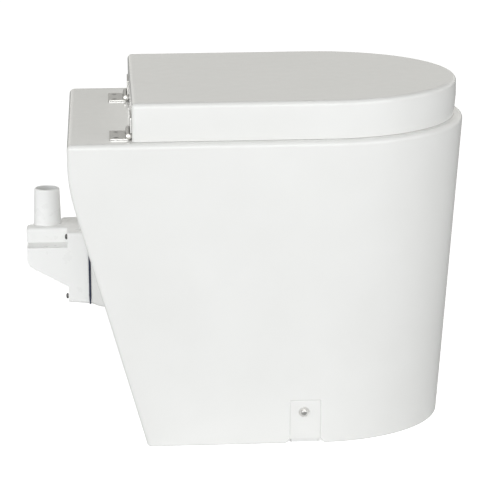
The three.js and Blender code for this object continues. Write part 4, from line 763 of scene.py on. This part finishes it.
def deck_holes():
    """Pilot holes in the deck under the hinges' screws, and the seat's two."""
    low, high = DECK_CEILING - OVERRUN, DECK_HEIGHT + OVERRUN
    places = []
    for middle in HINGES.values():
        for y in leaf_screw_rows(middle):
            places.append((LEAF_SCREW_HOLE, HINGE_X + DECK_SCREW_PLACE[0], y))
    for side in SIDES.values():
        places.append((SEAT_SCREW_HOLE, SEAT_SCREW[0], side * SEAT_SCREW[1]))
    holes = []
    for diameter, x, y in places:
        holes.append(bar("hole", diameter, (x, y, low), (x, y, high), PILOT_FACETS))
    return holes


def pedestal_openings(reach):
    """Cuts for the gasket, the vent, the deck opening, all screws and the side recesses."""
    half = GASKET_WIDTH / 2 + 2 * SEAT_GAP
    heights = (GASKET_HEIGHT[0] - 2 * SEAT_GAP, GASKET_HEIGHT[1] + 2 * SEAT_GAP)
    pocket = rounded_rectangle((-half, half), heights, COLLAR_CORNER)
    tools = [
        pushed("pocket", pocket, "x", (-COLLAR_FACE, COLLAR_FACE)),
        bar("vent", VENT_BORE, (0, 0, VENT_MIDDLE), (reach, 0, VENT_MIDDLE)),
        plan_block("opening", DECK_OPENING, 0, DECK_CEILING - OVERRUN, DECK_HEIGHT + OVERRUN),
    ]
    tools += screw_holes(HOUSING_SCREW_HOLE, SCREW_SPACING, (0, reach))
    tools += deck_holes()
    for side in SIDES.values():
        tools += recess_tools(side)
    return tools


def pedestal():
    knee = spaced(KNEE_START, KNEE_END, KNEE_STEPS)
    levels = rounded_start(0, PEDESTAL_FOOT_EDGE) + [(z, 0) for z in knee]
    levels += rounded_end(DECK_HEIGHT, PEDESTAL_EDGE)
    skin = loft("pedestal", [pedestal_ring(z, inset) for z, inset in levels])
    inner_levels = [FOOT_FLANGE_THICKNESS] + knee + [DECK_CEILING]
    hollow = loft("hollow", [pedestal_ring(z, PEDESTAL_WALL) for z in inner_levels])
    foot_levels = (-OVERRUN, FOOT_FLANGE_THICKNESS + OVERRUN)
    foot = loft("foot", [pedestal_ring(z, FOOT_FLANGE) for z in foot_levels])
    reach = COLLAR_FACE + COLLAR_REACH
    throat = collar_loft("throat", COLLAR_FACE + COLLAR_WALL, COLLAR_WALL, reach)
    cut(skin, hollow, foot, throat)
    joined(skin, collar())
    cut(skin, *pedestal_openings(reach))
    return soften(skin)


finished(pedestal(), WHITE, "white_gloss", "base", "pedestal_shell")


# Lid
def lid_ring(z, inset, draft):
    drafted = dict(LID_PLAN, rear=LID_PLAN["rear"] - draft)
    return plan_ring(drafted, inset + draft, z)


def lid_loft(name, levels):
    """A skin over levels of (height, inset, draft)."""
    return loft(name, [lid_ring(*level) for level in levels])


def lid():
    low, high = LID_HEIGHT
    outer = [(z, inset, LID_DRAFT) for z, inset in rounded_start(low, LID_FOOT_EDGE)]
    outer.append((LID_DRAFT_TOP, 0, 0))
    outer += [(z, inset, 0) for z, inset in rounded_end(high, LID_EDGE)]
    inner = [
        (low - OVERRUN, LID_WALL - LID_FOOT_EDGE, LID_DRAFT),
        (low, LID_WALL - LID_FOOT_EDGE, LID_DRAFT),
        (low + LID_FOOT_EDGE, LID_WALL, LID_DRAFT),
        (LID_DRAFT_TOP, LID_WALL, 0),
        (high - LID_EDGE, LID_WALL, 0),
        (high - LID_WALL, LID_EDGE, 0),
    ]
    shell = cut(lid_loft("lid", outer), lid_loft("hollow", inner))
    z = HINGE_Z + LID_SCREW_PLACE[1]
    start, end = LID_PLAN["rear"] - OVERRUN, LID_PLAN["rear"] + 2 * LID_WALL
    for middle in HINGES.values():
        for y in leaf_screw_rows(middle):
            cut(shell, bar("hole", LEAF_SCREW_HOLE, (start, y, z), (end, y, z), PILOT_FACETS))
    return soften(shell)


def lid_liner():
    low, high = LINER_BOTTOM, LID_HEIGHT[1] - LID_WALL - SEAT_GAP
    inset, shoulder, inner = LID_WALL + SEAT_GAP, LID_HEIGHT[1] - LID_EDGE, LID_EDGE + LINER_WALL
    panel = [(low, inset, 0), (shoulder, inset, 0), (high, LID_EDGE + SEAT_GAP, 0)]
    hollow = [(low + LINER_WALL, inner, 0), (high + OVERRUN, inner, 0)]
    body = cut(lid_loft("lid_liner_panel", panel), lid_loft("hollow", hollow))
    return soften(body, LINER_EDGE, segments=3)


finished(lid(), WHITE, "white_gloss", "lid", "lid_shell")
finished(lid_liner(), INNER, "white_inner", "lid", "lid_liner")


# Screws with a cross recess
SCREW_TIP_SHARE = 0.25
SCREW_RIM = 0.15
SCREW_EDGE = 0.08
CROWN_SHARE = 0.45
CROSS_SHARE = 0.62
CROSS_BLADE_SHARE = 0.085
CROSS_DEPTH_SHARE = 0.22
CROSS_LEAST_DEPTH = 0.9
CROSS_OVERRUN = 0.4
CROSS_FLOOR_SHARES = (0.45, 0.835)


def cross_ring(reach, blade, z):
    """Outline of a cross with four arms, each of a reach and half a blade's width."""
    arm = [(reach, -blade), (reach, blade), (blade, blade)]
    ring = []
    for quarter in range(4):
        ring += [(a, b, z) for a, b in arm]
        arm = [(-b, a) for a, b in arm]
    return ring


def screw(head, height, shank, length, cross_share=CROSS_SHARE):
    """Stands along +Z, shank below 0. A head without height is countersunk, its face at 0."""
    radius, stem = head / 2, shank / 2
    tip = shank * SCREW_TIP_SHARE
    profile = [(0, -length), (stem - tip, -length), (stem, tip - length)]
    if height:
        crown = height * CROWN_SHARE
        profile += [(stem, 0), (radius, 0)] + arc((0, crown), (radius, height - crown), 0, 90)
    else:
        profile += [(stem, stem - radius), (radius, -SCREW_RIM), (radius - SCREW_RIM, 0), (0, 0)]
    body = turned("screw", profile, SCREW_FACETS)
    reach, blade = radius * cross_share, head * CROSS_BLADE_SHARE
    depth = max(head * CROSS_DEPTH_SHARE, CROSS_LEAST_DEPTH)
    reach_share, blade_share = CROSS_FLOOR_SHARES
    floor = cross_ring(reach * reach_share, blade * blade_share, height - depth)
    cut(body, loft("recess", [floor, cross_ring(reach, blade, height + CROSS_OVERRUN)]))
    return soften(body, SCREW_EDGE)


def place_screws(prototype, material, places):
    """Copies of one screw, each standing for its node: (node, body, point, direction)."""
    for node, body, point, direction in places:
        piece = bpy.data.objects.new(node + "_head", prototype.data.copy())
        bpy.context.scene.collection.objects.link(piece)
        place(piece, point, direction)
        finished(piece, material, "stainless", body, node)
    bpy.data.objects.remove(prototype)


# Side washers and screws
def washer():
    body = disc("washer", WASHER_DIAMETER / 2, 0, WASHER_THICKNESS)
    hole = disc("hole", SIDE_SCREW_HOLE / 2, *WASHER_CUT)
    return soften(cut(body, hole), WASHER_EDGE)


for label, side in SIDES.items():
    ring = place(washer(), side_point(side, RECESS_DEPTH - SEAT_GAP), outward(side))
    ring.name = f"washer_{label}"
    finished(ring, HIGHLIT_STEEL, "stainless", "base", f"side_washer_{label}")
    point = side_point(side, RECESS_DEPTH - 2 * SEAT_GAP - WASHER_THICKNESS)
    spot = (f"side_screw_{label}", "base", point, outward(side))
    place_screws(screw(**SIDE_SCREW_SIZES), SHADED_MID_STEEL, [spot])


# Gasket, fan housing, outlet cap
def gasket():
    half = GASKET_WIDTH / 2
    outline = rounded_rectangle((-half, half), GASKET_HEIGHT, COLLAR_CORNER)
    body = pushed("gasket", outline, "x", GASKET_X)
    past = (GASKET_X[0] - OVERRUN, GASKET_X[1] + OVERRUN)
    bore = bar("bore", VENT_BORE, (past[0], 0, VENT_MIDDLE), (past[1], 0, VENT_MIDDLE))
    cut(body, bore, *screw_holes(HOUSING_SCREW_HOLE, SCREW_SPACING, past))
    return soften(body, GASKET_EDGE)


def scoop_ring(y, inset, root):
    """Side view of the scoop at one y, pulled in by an inset all round but at its root."""
    slope = (SCOOP_KNEE - SCOOP_FOOT) / (HOUSING_X[0] - SCOOP_REAR)
    drop = inset * math.hypot(1, slope)
    shelf_edge = max(SHELF_EDGE - inset, LEAST_SHELF_EDGE)
    outline = rounded_polygon(
        [
            (root, SCOOP_FOOT + drop - (root - HOUSING_X[0]) * slope, 0),
            (root, SCOOP_SHELF - inset, 0),
            (SCOOP_REAR + inset, SCOOP_SHELF - inset, shelf_edge),
            (SCOOP_REAR + inset, SCOOP_KNEE + drop - inset * slope, SCOOP_EDGE - inset),
        ]
    )
    return [(x, y, z) for x, z in outline]


def scoop(name, wall, root):
    """The scoop between its side walls, with its edges rounded over, up to an x at its root."""
    half = HOUSING_WIDTH / 2 - wall
    stations = [(half - run, wall + inset) for run, inset in rolled(SCOOP_ROUND)]
    rings = [scoop_ring(y, inset, root) for y, inset in stations]
    rings += [scoop_ring(-y, inset, root) for y, inset in reversed(stations)]
    return loft(name, rings)


def flange_ring(x, inset, drop=0.0):
    half = HOUSING_WIDTH / 2 - inset
    heights = (HOUSING_HEIGHT[0] + inset - drop, HOUSING_HEIGHT[1] - inset)
    outline = rounded_rectangle((-half, half), heights, FLANGE_CORNER - inset / 2)
    return [(x, y, z) for y, z in outline]


def shelf_outline(inset):
    (x0, x1), (y0, y1) = SHELF_OPENING_X, SHELF_OPENING_Y
    corner = SHELF_OPENING_CORNER - inset / 2
    return rounded_rectangle((x0 + inset, x1 - inset), (y0 + inset, y1 - inset), corner)


def fan_housing():
    rear, front = HOUSING_X
    inner, root, past = rear + HOUSING_WALL, rear + HOUSING_WALL / 2, front + OVERRUN
    rings = [flange_ring(x, inset) for x, inset in rounded_start(rear, HOUSING_EDGE)]
    body = loft("housing", rings + [flange_ring(front, 0, HOUSING_DRAFT)])
    joined(body, scoop("scoop", 0, root))
    room = loft("room", [flange_ring(inner, HOUSING_WALL), flange_ring(past, HOUSING_WALL)])
    shelf_cut = (SCOOP_SHELF - SHELF_CUT_DEPTH, SCOOP_SHELF + OVERRUN)
    shelf = pushed("shelf", shelf_outline(0), "z", shelf_cut)
    cut(body, room, scoop("duct", HOUSING_WALL, inner + OVERRUN), shelf)
    bosses = screw_holes(SCREW_BOSS, SCREW_SPACING, (root, front))
    bosses += screw_holes(FAN_BOSS, FAN_HOLE_SPACING, (root, FAN_REAR - SEAT_GAP))
    joined(body, *bosses)
    cut(body, *screw_holes(HOUSING_SCREW_HOLE, SCREW_SPACING, (SCOOP_REAR, past)))
    cut(body, *screw_holes(FAN_SCREW_HOLE, FAN_HOLE_SPACING, (inner, past)))
    return soften(body)


def cap_outline(inset, with_step):
    """Plan of the cap: a block at the rear, a round seat for the nozzle and a step beyond it."""
    x0, x1 = CAP_X[0] + inset, CAP_X[1] - (0 if with_step else inset)
    near, middle = CAP_NEAR + inset, CAP_MIDDLE - inset
    step_x, step_y = CAP_STEP[0] + inset, CAP_STEP[1] - inset
    corner = CAP_CORNER - inset / 2
    small = max(CAP_EDGE_CORNER - inset / 2, CAP_LEAST_CORNER)
    block = [(x0, middle, 0), (x0, near, corner), (x1, near, small), (x1, step_y, 0)]
    points = rounded_polygon(block)[1:-1]
    if with_step:
        far = CAP_FAR - inset
        run = [(x1, near, 0), (x1, far, small), (step_x, far, small), (step_x, step_y, 0)]
        points += rounded_polygon(run)[1:]
    else:
        points.append((x1, step_y))
    radius = CAP_SEAT / 2 - inset
    start = math.degrees(math.asin((step_y - NOZZLE[1]) / radius))
    end = 180 + math.degrees(math.asin((NOZZLE[1] - middle) / radius))
    points += arc(NOZZLE, (radius, radius), start, end, 4 * CORNER_STEPS)
    block = [(NOZZLE[0], middle, 0), (x0, middle, corner), (x0, near, 0)]
    return points + rounded_polygon(block)[1:-1]


def nozzle():
    """The tapering tube, with a fillet at its foot and a rounded lip."""
    base, tip = NOZZLE_BASE / 2, NOZZLE_TIP / 2
    fillet = arc((base + NOZZLE_FOOT, NOZZLE_FOOT), (NOZZLE_FOOT, NOZZLE_FOOT), 270, 180)
    lip = arc((tip - NOZZLE_LIP, NOZZLE_HEIGHT - NOZZLE_LIP), (NOZZLE_LIP, NOZZLE_LIP), 0, 90)
    outer = [(0, -CAP_WALL), (base + NOZZLE_FOOT, -CAP_WALL)] + fillet + lip
    return place(turned("nozzle", outer + [(0, NOZZLE_HEIGHT)]), (*NOZZLE, CAP_TOP))


def nozzle_bore():
    """The cut through the nozzle, narrower at its mouth."""
    base, tip = NOZZLE_BASE / 2 - NOZZLE_WALL, NOZZLE_TIP / 2 - NOZZLE_LIP
    past = NOZZLE_HEIGHT + OVERRUN
    edge = (tip + MOUTH_ROUND, NOZZLE_HEIGHT - MOUTH_DEPTH)
    mouth = arc(edge, (MOUTH_ROUND, MOUTH_ROUND), 180, 120)
    bore = [(0, -CAP_CUT_REACH), (base, -CAP_CUT_REACH), (base, 0), (base, NOZZLE_HEIGHT / 2)]
    bore += mouth + [(mouth[-1][0], past), (0, past)]
    return place(turned("bore", bore), (*NOZZLE, CAP_TOP))


def outlet_cap():
    low = SCOOP_SHELF + CAP_GAP
    rings = []
    for z, inset in rounded_start(low, CAP_FOOT_EDGE) + rounded_end(CAP_TOP, CAP_TOP_EDGE):
        rings.append([(x, y, z) for x, y in cap_outline(inset, True)])
    body = loft("outlet", rings)
    spigot = pushed("spigot", shelf_outline(SEAT_GAP), "z", (low - SPIGOT_DEPTH, low + CAP_WALL))
    joined(body, spigot, nozzle())
    throat = shelf_outline(SEAT_GAP + SPIGOT_WALL)
    y, z = screw_corners(SCREW_SPACING)[CAP_SCREW]
    start, end = CAP_STEP[0] - OVERRUN, CAP_X[1] + OVERRUN
    cut(
        body,
        pushed("inside", cap_outline(CAP_WALL, False), "z", (low + CAP_WALL, CAP_TOP - CAP_WALL)),
        pushed("throat", throat, "z", (low - CAP_CUT_REACH, low + CAP_CUT_REACH)),
        nozzle_bore(),
        bar("hole", HOUSING_SCREW_HOLE, (start, y, z), (end, y, z), HOLE_FACETS),
    )
    return soften(body)


finished(gasket(), GASKET, "gasket_rubber", "base", "vent_gasket")
finished(fan_housing(), BRIGHTENED_HOUSING_WHITE, "white_gloss", "base", "fan_housing")
finished(outlet_cap(), BRIGHTENED_HOUSING_WHITE, "white_gloss", "base", "outlet_cap")


# The screw through the cap's step sits on it, and the other three on the flange
for i, (y, z) in enumerate(screw_corners(SCREW_SPACING)):
    seat_x = CAP_STEP[0] if i == CAP_SCREW else HOUSING_X[0]
    head = screw(**HOUSING_SCREW_SIZES, length=HOUSING_SCREW_LENGTH + HOUSING_X[0] - seat_x)
    spot = (f"housing_screw_{i + 1}", "base", (seat_x - SEAT_GAP, y, z), REARWARD)
    place_screws(head, SHADED_DARK_STEEL, [spot])


# Butt hinges
def leaf_plate(along, span, reach):
    """A thin plate with round outer corners: reach runs away from the barrel."""
    near, far = reach
    half = LEAF_LENGTH / 2
    corners = [(near, -half, 0), (far, -half, LEAF_CORNER)]
    corners += [(far, half, LEAF_CORNER), (near, half, 0)]
    if far < near:
        corners.reverse()
    outline = rounded_polygon(corners)
    if along == "z":
        return pushed("plate", outline, "z", span)
    return pushed("plate", [(y, z) for z, y in outline][::-1], "x", span)


def knuckles(first):
    """Where every second knuckle of the barrel lies, from the first or the second on."""
    run = LEAF_LENGTH / KNUCKLES
    spans = []
    for i in range(first, KNUCKLES, 2):
        start = -LEAF_LENGTH / 2 + i * run
        low = KNUCKLE_GAP / 2 if i else 0
        high = KNUCKLE_GAP / 2 if i < KNUCKLES - 1 else 0
        spans.append((start + low, start + run - high))
    return spans


def leaf(plate, strap, first, screw_point, screw_direction):
    """One leaf about the hinge axis at the layout's origin, with its knuckles and holes."""
    (x0, x1), (z0, z1) = strap
    outline = [(x0, z0), (x1, z0), (x1, z1), (x0, z1)]
    for span in knuckles(first):
        ends = (0, span[0], 0), (0, span[1], 0)
        barrel = bar("knuckle", BARREL_DIAMETER, *ends, BARREL_FACETS)
        joined(plate, pushed("strap", outline, "y", span), barrel)
    past = LEAF_LENGTH / 2 + OVERRUN
    bore = PIN_DIAMETER + 2 * SEAT_GAP
    cut(plate, bar("bore", bore, (0, -past, 0), (0, past, 0), BARREL_FACETS))
    for y in leaf_screw_rows(0):
        head = LEAF_SCREW_SIZES["head"] / 2 + COUNTERSINK_GAP
        hole = countersink(head, LEAF_SCREW_HOLE / 2, LEAF_HOLE_DEPTH)
        cut(plate, place(hole, (screw_point[0], y, screw_point[1]), screw_direction))
    return soften(plate, LEAF_EDGE)


def deck_leaf():
    z = (-DECK_LEAF_OFFSET - LEAF_THICKNESS, -DECK_LEAF_OFFSET)
    plate = leaf_plate("z", z, (-BARREL_CLEARANCE, -DECK_LEAF_REACH))
    strap = ((-BARREL_CLEARANCE - STRAP_OVERLAP, 0), z)
    return leaf(plate, strap, 0, DECK_SCREW_PLACE, UP)


def lid_leaf():
    x = (LID_LEAF_OFFSET, LID_LEAF_OFFSET + LEAF_THICKNESS)
    plate = leaf_plate("x", x, (BARREL_CLEARANCE, LID_LEAF_REACH))
    strap = (x, (0, BARREL_CLEARANCE + STRAP_OVERLAP))
    return leaf(plate, strap, 1, LID_SCREW_PLACE, REARWARD)


def hinge_pin():
    low, radius = -LEAF_LENGTH - SEAT_GAP, PIN_DIAMETER / 2
    profile = [(0, low), (radius, low), (radius, 0), (PIN_HEAD / 2, 0)]
    profile += arc((0, PIN_HEAD_RIM), (PIN_HEAD / 2, PIN_DOME), 0, 90, PIN_DOME_STEPS)
    return soften(turned("pin", profile, BARREL_FACETS))


def paint_end_highlights(piece):
    """Gives the cut ends of a leaf the brighter finish: a painted highlight on them."""
    piece.data.materials.append(HIGHLIT_STEEL)
    for face in piece.data.polygons:
        if abs(face.normal.y) > END_FACING:
            face.material_index = 1


LEAVES = (
    ("deck", deck_leaf, "base", DECK_SCREW_PLACE, UP),
    ("lid", lid_leaf, "lid", LID_SCREW_PLACE, REARWARD),
)
leaf_screws = []
for label, middle in HINGES.items():
    for part, build, body, (x, z), direction in LEAVES:
        piece = place(build(), (HINGE_X, middle, HINGE_Z))
        piece.name = f"{part}_leaf_{label}"
        finished(piece, SHADED_STEEL, "stainless", body, f"hinge_{part}_leaf_{label}")
        # The leaf's cut ends get a painted highlight in the brighter steel.
        paint_end_highlights(piece)
        for i, y in enumerate(leaf_screw_rows(middle)):
            point = (HINGE_X + x, y, HINGE_Z + z)
            leaf_screws.append((f"{part}_leaf_screw_{label}_{i + 1}", body, point, direction))
    pin_place = (HINGE_X, middle - LEAF_LENGTH / 2 - SEAT_GAP, HINGE_Z)
    pin = place(hinge_pin(), pin_place, NEARWARD)
    pin.name = f"pin_{label}"
    finished(pin, HIGHLIT_STEEL, "stainless", "base", f"hinge_pin_{label}")
place_screws(screw(**LEAF_SCREW_SIZES), SHADED_DARK_STEEL, leaf_screws)


# Bowl and seat
def spout_ring(inset, z):
    radius = SPOUT_DIAMETER / 2 - inset
    low, high = SPOUT_X - radius, SPOUT_X + radius
    plan = dict(rear=low, front=high, width=2 * radius, straight=SPOUT_X, corner=radius)
    return plan_ring(plan, 0, z)


def tub():
    """The outer form of the tub, wider at its top."""
    inset = BOWL_CLEARANCE + TUB_TAPER
    return plan_block("tub", DECK_OPENING, inset, TUB_FLOOR, BOWL_HEIGHT[1], BOWL_CLEARANCE)


def basin():
    """The outer form of the urine basin, from its spout up to the tub's floor."""
    rings = [spout_ring(0, z) for z in (BASIN_LOW - SPOUT_DEPTH, BASIN_LOW)]
    rings += [plan_ring(BASIN_PLAN, 0, z) for z in (BASIN_SHOULDER, TUB_FLOOR_TOP)]
    return loft("basin", rings)


def well():
    """The cut that hollows the tub, with a fillet round its floor."""
    rings = []
    for rise, fillet in rolled(BOWL_FILLET):
        taper = TUB_TAPER * (1 - rise / (TUB_DEPTH - BOWL_WALL))
        inset = BOWL_CLEARANCE + taper + BOWL_WALL + fillet
        rings.append(plan_ring(DECK_OPENING, inset, TUB_FLOOR_TOP + rise))
    for z in (BOWL_HEIGHT[1], BOWL_HEIGHT[1] + OVERRUN):
        rings.append(plan_ring(DECK_OPENING, BOWL_CLEARANCE + BOWL_WALL, z))
    return loft("well", rings)


def lip_levels(plan):
    """Rings of a cut through the tub's floor that roll its upper edge over, up to the floor."""
    rings = []
    for spread, drop in rolled(BOWL_LIP):
        rings.append(plan_ring(plan, BOWL_WALL - spread, TUB_FLOOR_TOP - drop))
    return rings + [plan_ring(plan, BOWL_WALL - 2 * BOWL_LIP, TUB_FLOOR_TOP + OVERRUN)]


def chute_bore():
    inset = CHUTE_TAPER + BOWL_WALL
    rings = [plan_ring(CHUTE_PLAN, inset, z) for z in (CHUTE_LOW - OVERRUN, CHUTE_LOW)]
    return loft("chute_bore", rings + lip_levels(CHUTE_PLAN))


def basin_bore():
    levels = (BASIN_LOW - SPOUT_DEPTH - OVERRUN, BASIN_LOW + BOWL_WALL)
    rings = [spout_ring(BOWL_WALL, z) for z in levels]
    rings.append(plan_ring(BASIN_PLAN, BOWL_WALL, BASIN_SHOULDER + BOWL_WALL))
    return loft("basin_bore", rings + lip_levels(BASIN_PLAN))


def weir():
    """The wall between chute and basin, with a dipped top and its ends cut to the tub."""
    middle = (CHUTE_PLAN["front"] + BASIN_PLAN["rear"]) / 2
    half = DECK_OPENING["width"] / 2 - BOWL_CLEARANCE - BOWL_WALL
    low, dip = BOWL_HEIGHT[0], WEIR_HEIGHT / 2
    outline = [(-half, TUB_FLOOR), (half, TUB_FLOOR), (half, low)]
    for i in range(2 * CORNER_STEPS + 1):
        across = 1 - i / CORNER_STEPS
        rise = TUB_FLOOR_TOP + WEIR_HEIGHT - dip * (1 - across**2)
        outline.append((across * (half - dip), rise))
    outline.append((-half, low))
    span = (middle - WEIR_THICKNESS / 2, middle + WEIR_THICKNESS / 2)
    wall = combine(pushed("weir", outline, "x", span), [tub()], "INTERSECT")
    return soften(wall, WEIR_EDGE, segments=4)


def bowl():
    low, high = BOWL_HEIGHT
    body = plan_block("bowl", DECK_OPENING, -BOWL_REACH, low, high)
    chute = plan_block("chute", CHUTE_PLAN, CHUTE_TAPER, CHUTE_LOW, TUB_FLOOR_TOP, 0)
    joined(body, tub(), chute, basin())
    cut(body, well(), chute_bore(), basin_bore())
    joined(body, weir())
    return soften(body)


def seat_section(width):
    """Points (run, height) round the seat, from its outer outline to the hole and back."""
    low, high = SEAT_HEIGHT
    section = [(SEAT_FOOT_EDGE, low), (0, low + SEAT_FOOT_EDGE)]
    section += [(run, high - drop) for run, drop in rolled(SEAT_EDGE)]
    start, end = width * DISH_START_SHARE, width - SEAT_EDGE
    for i in range(EDGE_STEPS + 1):
        share = i / EDGE_STEPS
        section.append((lerp(start, end, share), high - SEAT_DISH * eased(share)))
    for drop, run in rolled(SEAT_EDGE)[1:]:
        section.append((width - run, high - SEAT_DISH - drop))
    return section + [(width, low + SEAT_FOOT_EDGE), (width - SEAT_FOOT_EDGE, low)]


def seat():
    low, high = SEAT_HEIGHT
    outer = [Vector(p) for p in plan_ring(SEAT_PLAN, 0, 0)]
    inner = [Vector(p) for p in plan_ring(HOLE_PLAN, 0, 0)]
    points, faces = [], []
    for start, end in zip(outer, inner):
        across = end - start
        section = seat_section(across.length)
        across.normalize()
        points += [tuple(start + across * run + Vector((0, 0, z))) for run, z in section]
    count = len(section)
    for station in range(len(outer)):
        after = (station + 1) % len(outer)
        for i in range(count):
            j = (i + 1) % count
            a, b = station * count + i, station * count + j
            c, d = after * count + j, after * count + i
            faces.append((a, d, c, b))
    body = mesh_piece("seat", points, faces)
    x, half = SEAT_SCREW
    for y in (-half, half):
        joined(body, bar("boss", SEAT_BOSS, (x, y, BOWL_HEIGHT[0]), (x, y, low + SEAT_BOSS_RISE)))
        head, depth = SEAT_SCREW_SIZES["head"] / 2 + SEAT_GAP, SEAT_SCREW_SIZES["length"]
        hole = countersink(head, SEAT_SCREW_HOLE / 2, depth)
        cut(body, place(hole, (x, y, high)))
    return soften(body)


finished(bowl(), INNER, "white_inner", "base", "diverter_bowl")
finished(seat(), INNER, "white_inner", "base", "seat_ring")
seat_screws = []
for label, side in SIDES.items():
    point = (SEAT_SCREW[0], side * SEAT_SCREW[1], SEAT_HEIGHT[1])
    seat_screws.append((f"seat_screw_{label}", "base", point, UP))
place_screws(screw(**SEAT_SCREW_SIZES), SHADED_STEEL, seat_screws)


# Pieces whose frame shape is right keep it and take a finish, by how their names start
KEPT = {
    "solids_container": GREY,
    "urine_tank": NATURAL,
    "fan_frame": BLACK,
    "fan_rotor": BLACK,
    "fan_screw": ZINC,
    "floor_bracket": COATED,
    "seat_buffer": BUFFER,
    "lid_buffer": BUFFER,
}
for node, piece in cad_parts.items():
    for start, finish in KEPT.items():
        if node.startswith(start):
            piece.data.materials.clear()
            piece.data.materials.append(finish)


# Camera, as the photograph was taken: 500 x 500 pixels
FOCAL_PIXELS = 2400.0
IMAGE_PIXELS = 500.0
SENSOR = 36.0
CAMERA_PLACE = (45.56, -3041.19, 992.41)
YAW, PITCH, ROLL = 0.0617, 0.24946, -0.005055
FAR_CLIP = 100.0
camera = bpy.data.objects.new("camera", bpy.data.cameras.new("camera"))
bpy.context.scene.collection.objects.link(camera)
camera.data.sensor_width = SENSOR
camera.data.lens = SENSOR * FOCAL_PIXELS / IMAGE_PIXELS
camera.data.clip_end = FAR_CLIP
forward = Vector(
    (math.sin(YAW) * math.cos(PITCH), math.cos(YAW) * math.cos(PITCH), -math.sin(PITCH))
)
right = forward.cross(Vector(UP)).normalized()
upward = right.cross(forward)
rolled_right = right * math.cos(ROLL) + upward * math.sin(ROLL)
rolled_up = -right * math.sin(ROLL) + upward * math.cos(ROLL)
turn = Matrix((rolled_right, rolled_up, -forward)).transposed().to_4x4()
camera.matrix_world = Matrix.Translation(in_frame(CAMERA_PLACE)) @ turn
bpy.context.scene.camera = camera
bpy.context.scene.view_settings.view_transform = "Standard"


# Floor, which stays white to the camera and keeps a soft shadow
FLOOR_SIZE = 40.0
FLOOR_COLOR = (0.92, 0.92, 0.92, 1)
FLOOR_ROUGHNESS = 0.9
FLOOR_GLOW = 0.82
WHITE_LIGHT = (1, 1, 1, 1)


def pale_floor():
    material = bpy.data.materials.new("pale_floor")
    material.use_nodes = True
    nodes, links = material.node_tree.nodes, material.node_tree.links
    values = {"Base Color": FLOOR_COLOR, "Roughness": FLOOR_ROUGHNESS}
    shader = set_inputs(nodes["Principled BSDF"], values)
    set_inputs(shader, {"Specular IOR Level": 0.0, "Emission Color": WHITE_LIGHT})
    rays = nodes.new("ShaderNodeLightPath")
    glow = add_node(nodes, "ShaderNodeMath", {1: FLOOR_GLOW}, operation="MULTIPLY")
    links.new(rays.outputs["Is Camera Ray"], glow.inputs[0])
    links.new(glow.outputs["Value"], shader.inputs["Emission Strength"])
    return material


bpy.ops.mesh.primitive_plane_add(size=FLOOR_SIZE, location=(0, 0, 0))
floor = bpy.context.object
floor.name = "floor"
floor.data.materials.append(pale_floor())


# World, white to the camera and in reflections, and a low warm light on the object
AMBIENT = 0.2
AMBIENT_COLOR = (1, 0.99, 0.945, 1)


def studio_world():
    world = bpy.data.worlds.new("studio")
    world.use_nodes = True
    nodes, links = world.node_tree.nodes, world.node_tree.links
    background = nodes["Background"]
    rays = nodes.new("ShaderNodeLightPath")
    colors = {"A": AMBIENT_COLOR, "B": WHITE_LIGHT}
    tint = add_node(nodes, "ShaderNodeMix", colors, data_type="RGBA")
    links.new(rays.outputs["Is Camera Ray"], tint.inputs["Factor"])
    links.new(tint.outputs["Result"], background.inputs["Color"])
    seen = add_node(nodes, "ShaderNodeMath", {}, operation="MAXIMUM")
    links.new(rays.outputs["Is Camera Ray"], seen.inputs[0])
    links.new(rays.outputs["Is Glossy Ray"], seen.inputs[1])
    strength = add_node(nodes, "ShaderNodeMapRange", {"To Min": AMBIENT, "To Max": 1.0})
    links.new(seen.outputs["Value"], strength.inputs["Value"])
    links.new(strength.outputs["Result"], background.inputs["Strength"])
    return world


bpy.context.scene.world = studio_world()


# Five softboxes side by side on an arc around the near side, by bearing in degrees
TENT_RADIUS = 3.6
TENT_HEIGHT = 1.3
TENT_SIZE = 2.4
TENT_TARGET = (0, 0, 0.22)
TENT_COLOR = (0.97, 0.985, 1.0)
TENT_POWER = {-80: 26, -40: 38, 0: 37, 40: 36, 80: 15}
REAR_BEARING = -80


def softbox(bearing, power):
    """The rear one stays out of reflections: it would turn the lid's top white from the front."""
    light = bpy.data.lights.new(f"tent_{bearing}", "AREA")
    light.color = TENT_COLOR
    light.shape = "SQUARE"
    light.size = TENT_SIZE
    light.energy = power
    lamp = bpy.data.objects.new(f"tent_{bearing}", light)
    bpy.context.scene.collection.objects.link(lamp)
    turn = math.radians(bearing)
    stand = (TENT_RADIUS * math.sin(turn), -TENT_RADIUS * math.cos(turn), TENT_HEIGHT)
    aim = (Vector(TENT_TARGET) - Vector(stand)).to_track_quat("-Z", "Y")
    lamp.matrix_world = Matrix.Translation(stand) @ aim.to_matrix().to_4x4()
    lamp.visible_glossy = bearing != REAR_BEARING


for bearing, power in TENT_POWER.items():
    softbox(bearing, power)
